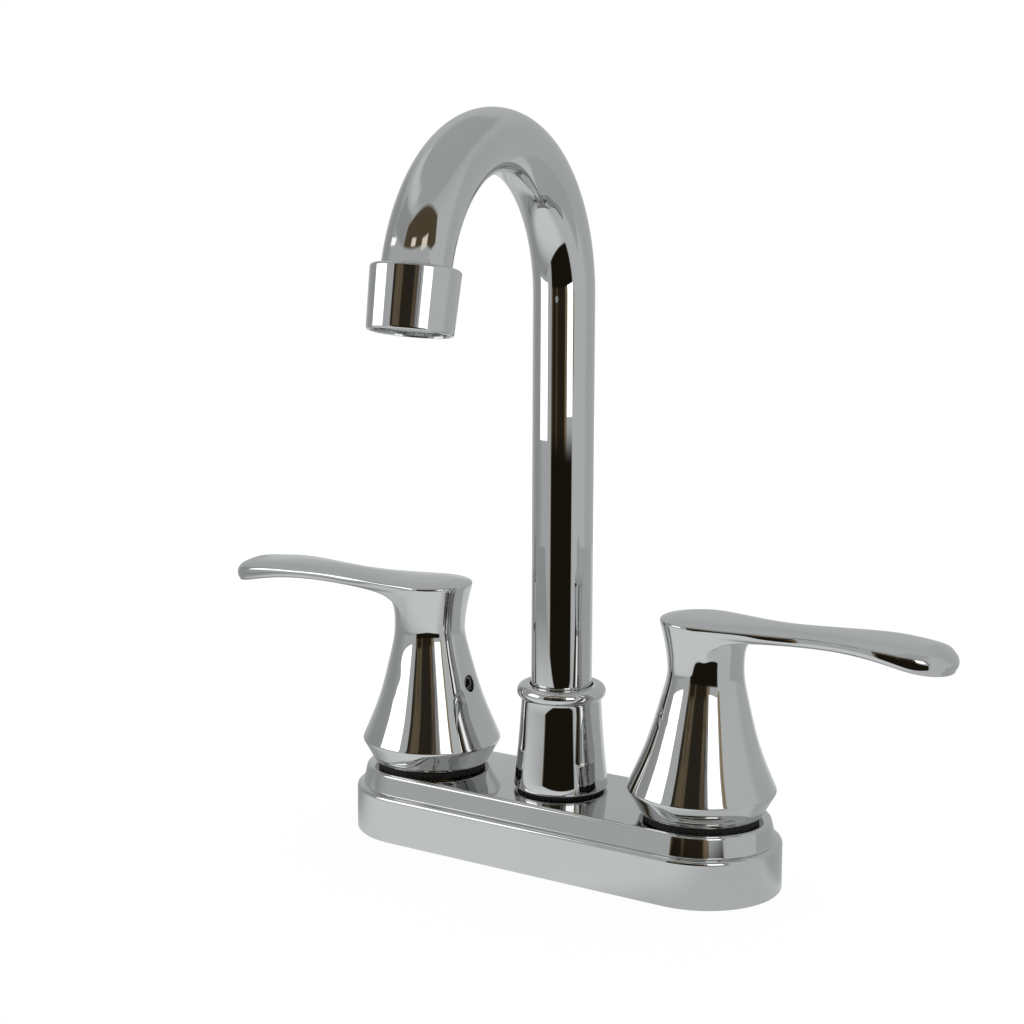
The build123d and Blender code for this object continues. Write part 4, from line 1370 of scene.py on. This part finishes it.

        # The cloth glows in painted light and shade: darker to the left, lighter to the right, with lighter and darker
        # bands up high and glare low at the back left.
        cloth = self._paint_patches(turned, cool(0.55), *self.cloth_light_and_shade)
        cloth = graph.mix(height.ramp(40.0, 54.0), cloth, cool(0.6))
        cloth = graph.mix(turned.band(-60.0, -8.0, 6.0) * height.band(40.0, 53.0, 1.5), cloth, cool(0.4))
        cloth = graph.mix((height + turned.ramp(-30.0, 10.0) * 7.0).ramp(61.0, 67.0), cloth, cool(0.5))
        cloth = graph.mix(turned.band(-95.0, -14.0, 8.0) * height.band(56.0, 64.0, 2.5), cloth, cool(0.75))
        glare = turned.band(-150.0, -130.0, 6.0) * height.band(4.0, 12.0, 3.0)
        cloth = graph.mix(glare, cloth, cool(0.7))

        room = self._paint_patches(turned, brown(0.025), *self.room_tones)
        streaks = graph.add("ShaderNodeCombineXYZ", {}, {0: turned * 0.14, 1: height * 0.015})
        pattern = graph.noise(streaks, 3.0, 4.0, 0.7)
        room = graph.mix(pattern.ramp(0.48, 0.58) * 0.8, room, grey(0.025))
        low = self._paint_patches(turned, brown(0.02), *self.low_room_tones)
        room = graph.mix(height.ramp(9.0, 13.0), low, room)
        scene = graph.mix(turned.band(-15.0, 43.5, 0.8) * (1.0 - height.ramp(30.5, 34.0)), cloth, room)
        scene = graph.mix(turned.band(64.5, 69.0, 0.7) * height.band(5.0, 30.0, 1.5), scene, brown(0.25))
        scene = graph.mix(turned.band(-13.0, 64.0, 1.5) * (1.0 - height.ramp(0.0, 2.5)), scene, brown(0.01))

        # An arched dark panel over the opening, with two lamps in it, and a glint high on the left.
        crown = 57.5 - ((turned - 27.0) / 44.0) ** 2.0 * 11.0
        foot = 40.0 - turned.ramp(44.0, 72.0) * 6.0
        side = 72.0 + (46.0 - height).maximum(0.0) * 0.6
        panel = (turned.ramp(-14.2, -11.8) * (1.0 - (turned - side).ramp(-1.2, 1.2))
                 * (1.0 - (height - crown).ramp(-1.5, 1.5)) * (height - foot).ramp(-1.0, 1.0))
        scene = graph.mix(panel, scene, brown(0.08))
        spots = turned.band(8.0, 20.0, 1.5) * height.band(41.0, 44.5, 0.6)
        spots = spots.maximum(turned.band(38.0, 53.0, 1.5) * height.band(38.0, 43.0, 0.8))
        scene = graph.mix(spots, scene, (1.0, 0.9, 0.75))
        glint = turned.band(-63.5, -44.0, 2.0) * (height - turned * 0.22).band(46.5, 49.3, 0.5)
        scene = graph.mix(glint, scene, grey(1.6))

        clear = graph.add("ShaderNodeBsdfTransparent")
        self._close(graph, graph.cover(seen, self._glow(graph, scene), clear))
        ball = Shape()
        bmesh.ops.create_uvsphere(ball.bm, u_segments=96, v_segments=48, radius=self.tent_radius,
                                  matrix=Matrix.Translation((0, 0, self.tent_height)))
        self._backdrop("tent", ball, made)

    def world(self) -> None:
        """Fills the space outside the tent: white to the camera, plain grey light otherwise."""
        world = bpy.data.worlds.new("studio_air")
        bpy.context.scene.world = world
        world.use_nodes = True
        graph = Graph(world.node_tree)
        seen, _ = self._rays(graph)
        back = graph.add("ShaderNodeBackground", {}, {"Color": graph.mix(seen, grey(0.6), grey(1.0)), "Strength": 1.0})
        graph.add("ShaderNodeOutputWorld", {}, {"Surface": back})

    def build(self) -> None:
        """Sets up the whole studio."""
        bpy.context.scene.view_settings.view_transform = "Standard"
        self.camera()
        self.floor()
        self.tent()
        self.strip_panels()
        self.world()


def dress_solids() -> None:
    """Gives every carried-over solid the finish of its slot."""
    for entry in frame["record"]["subparts"]:
        solid = frame["nodes"][entry["node"]]
        solid.data.materials.clear()
        solid.data.materials.append(FINISHES[Slot(entry["material_slot"])].material())


def main() -> None:
    """Builds the faucet's looks and the studio."""
    logging.basicConfig(level=logging.INFO, format="%(message)s")
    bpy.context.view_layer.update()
    Studio().build()
    dress_solids()
    Base().build()
    for side, place, turn in (("hot", -50.8, 181.5), ("cold", 50.8, 2.0)):
        Handle(side, place, turn).build()
        Fastening(side, place, turn).build()
    Spout().build()


if __name__ == "__main__":
    main()
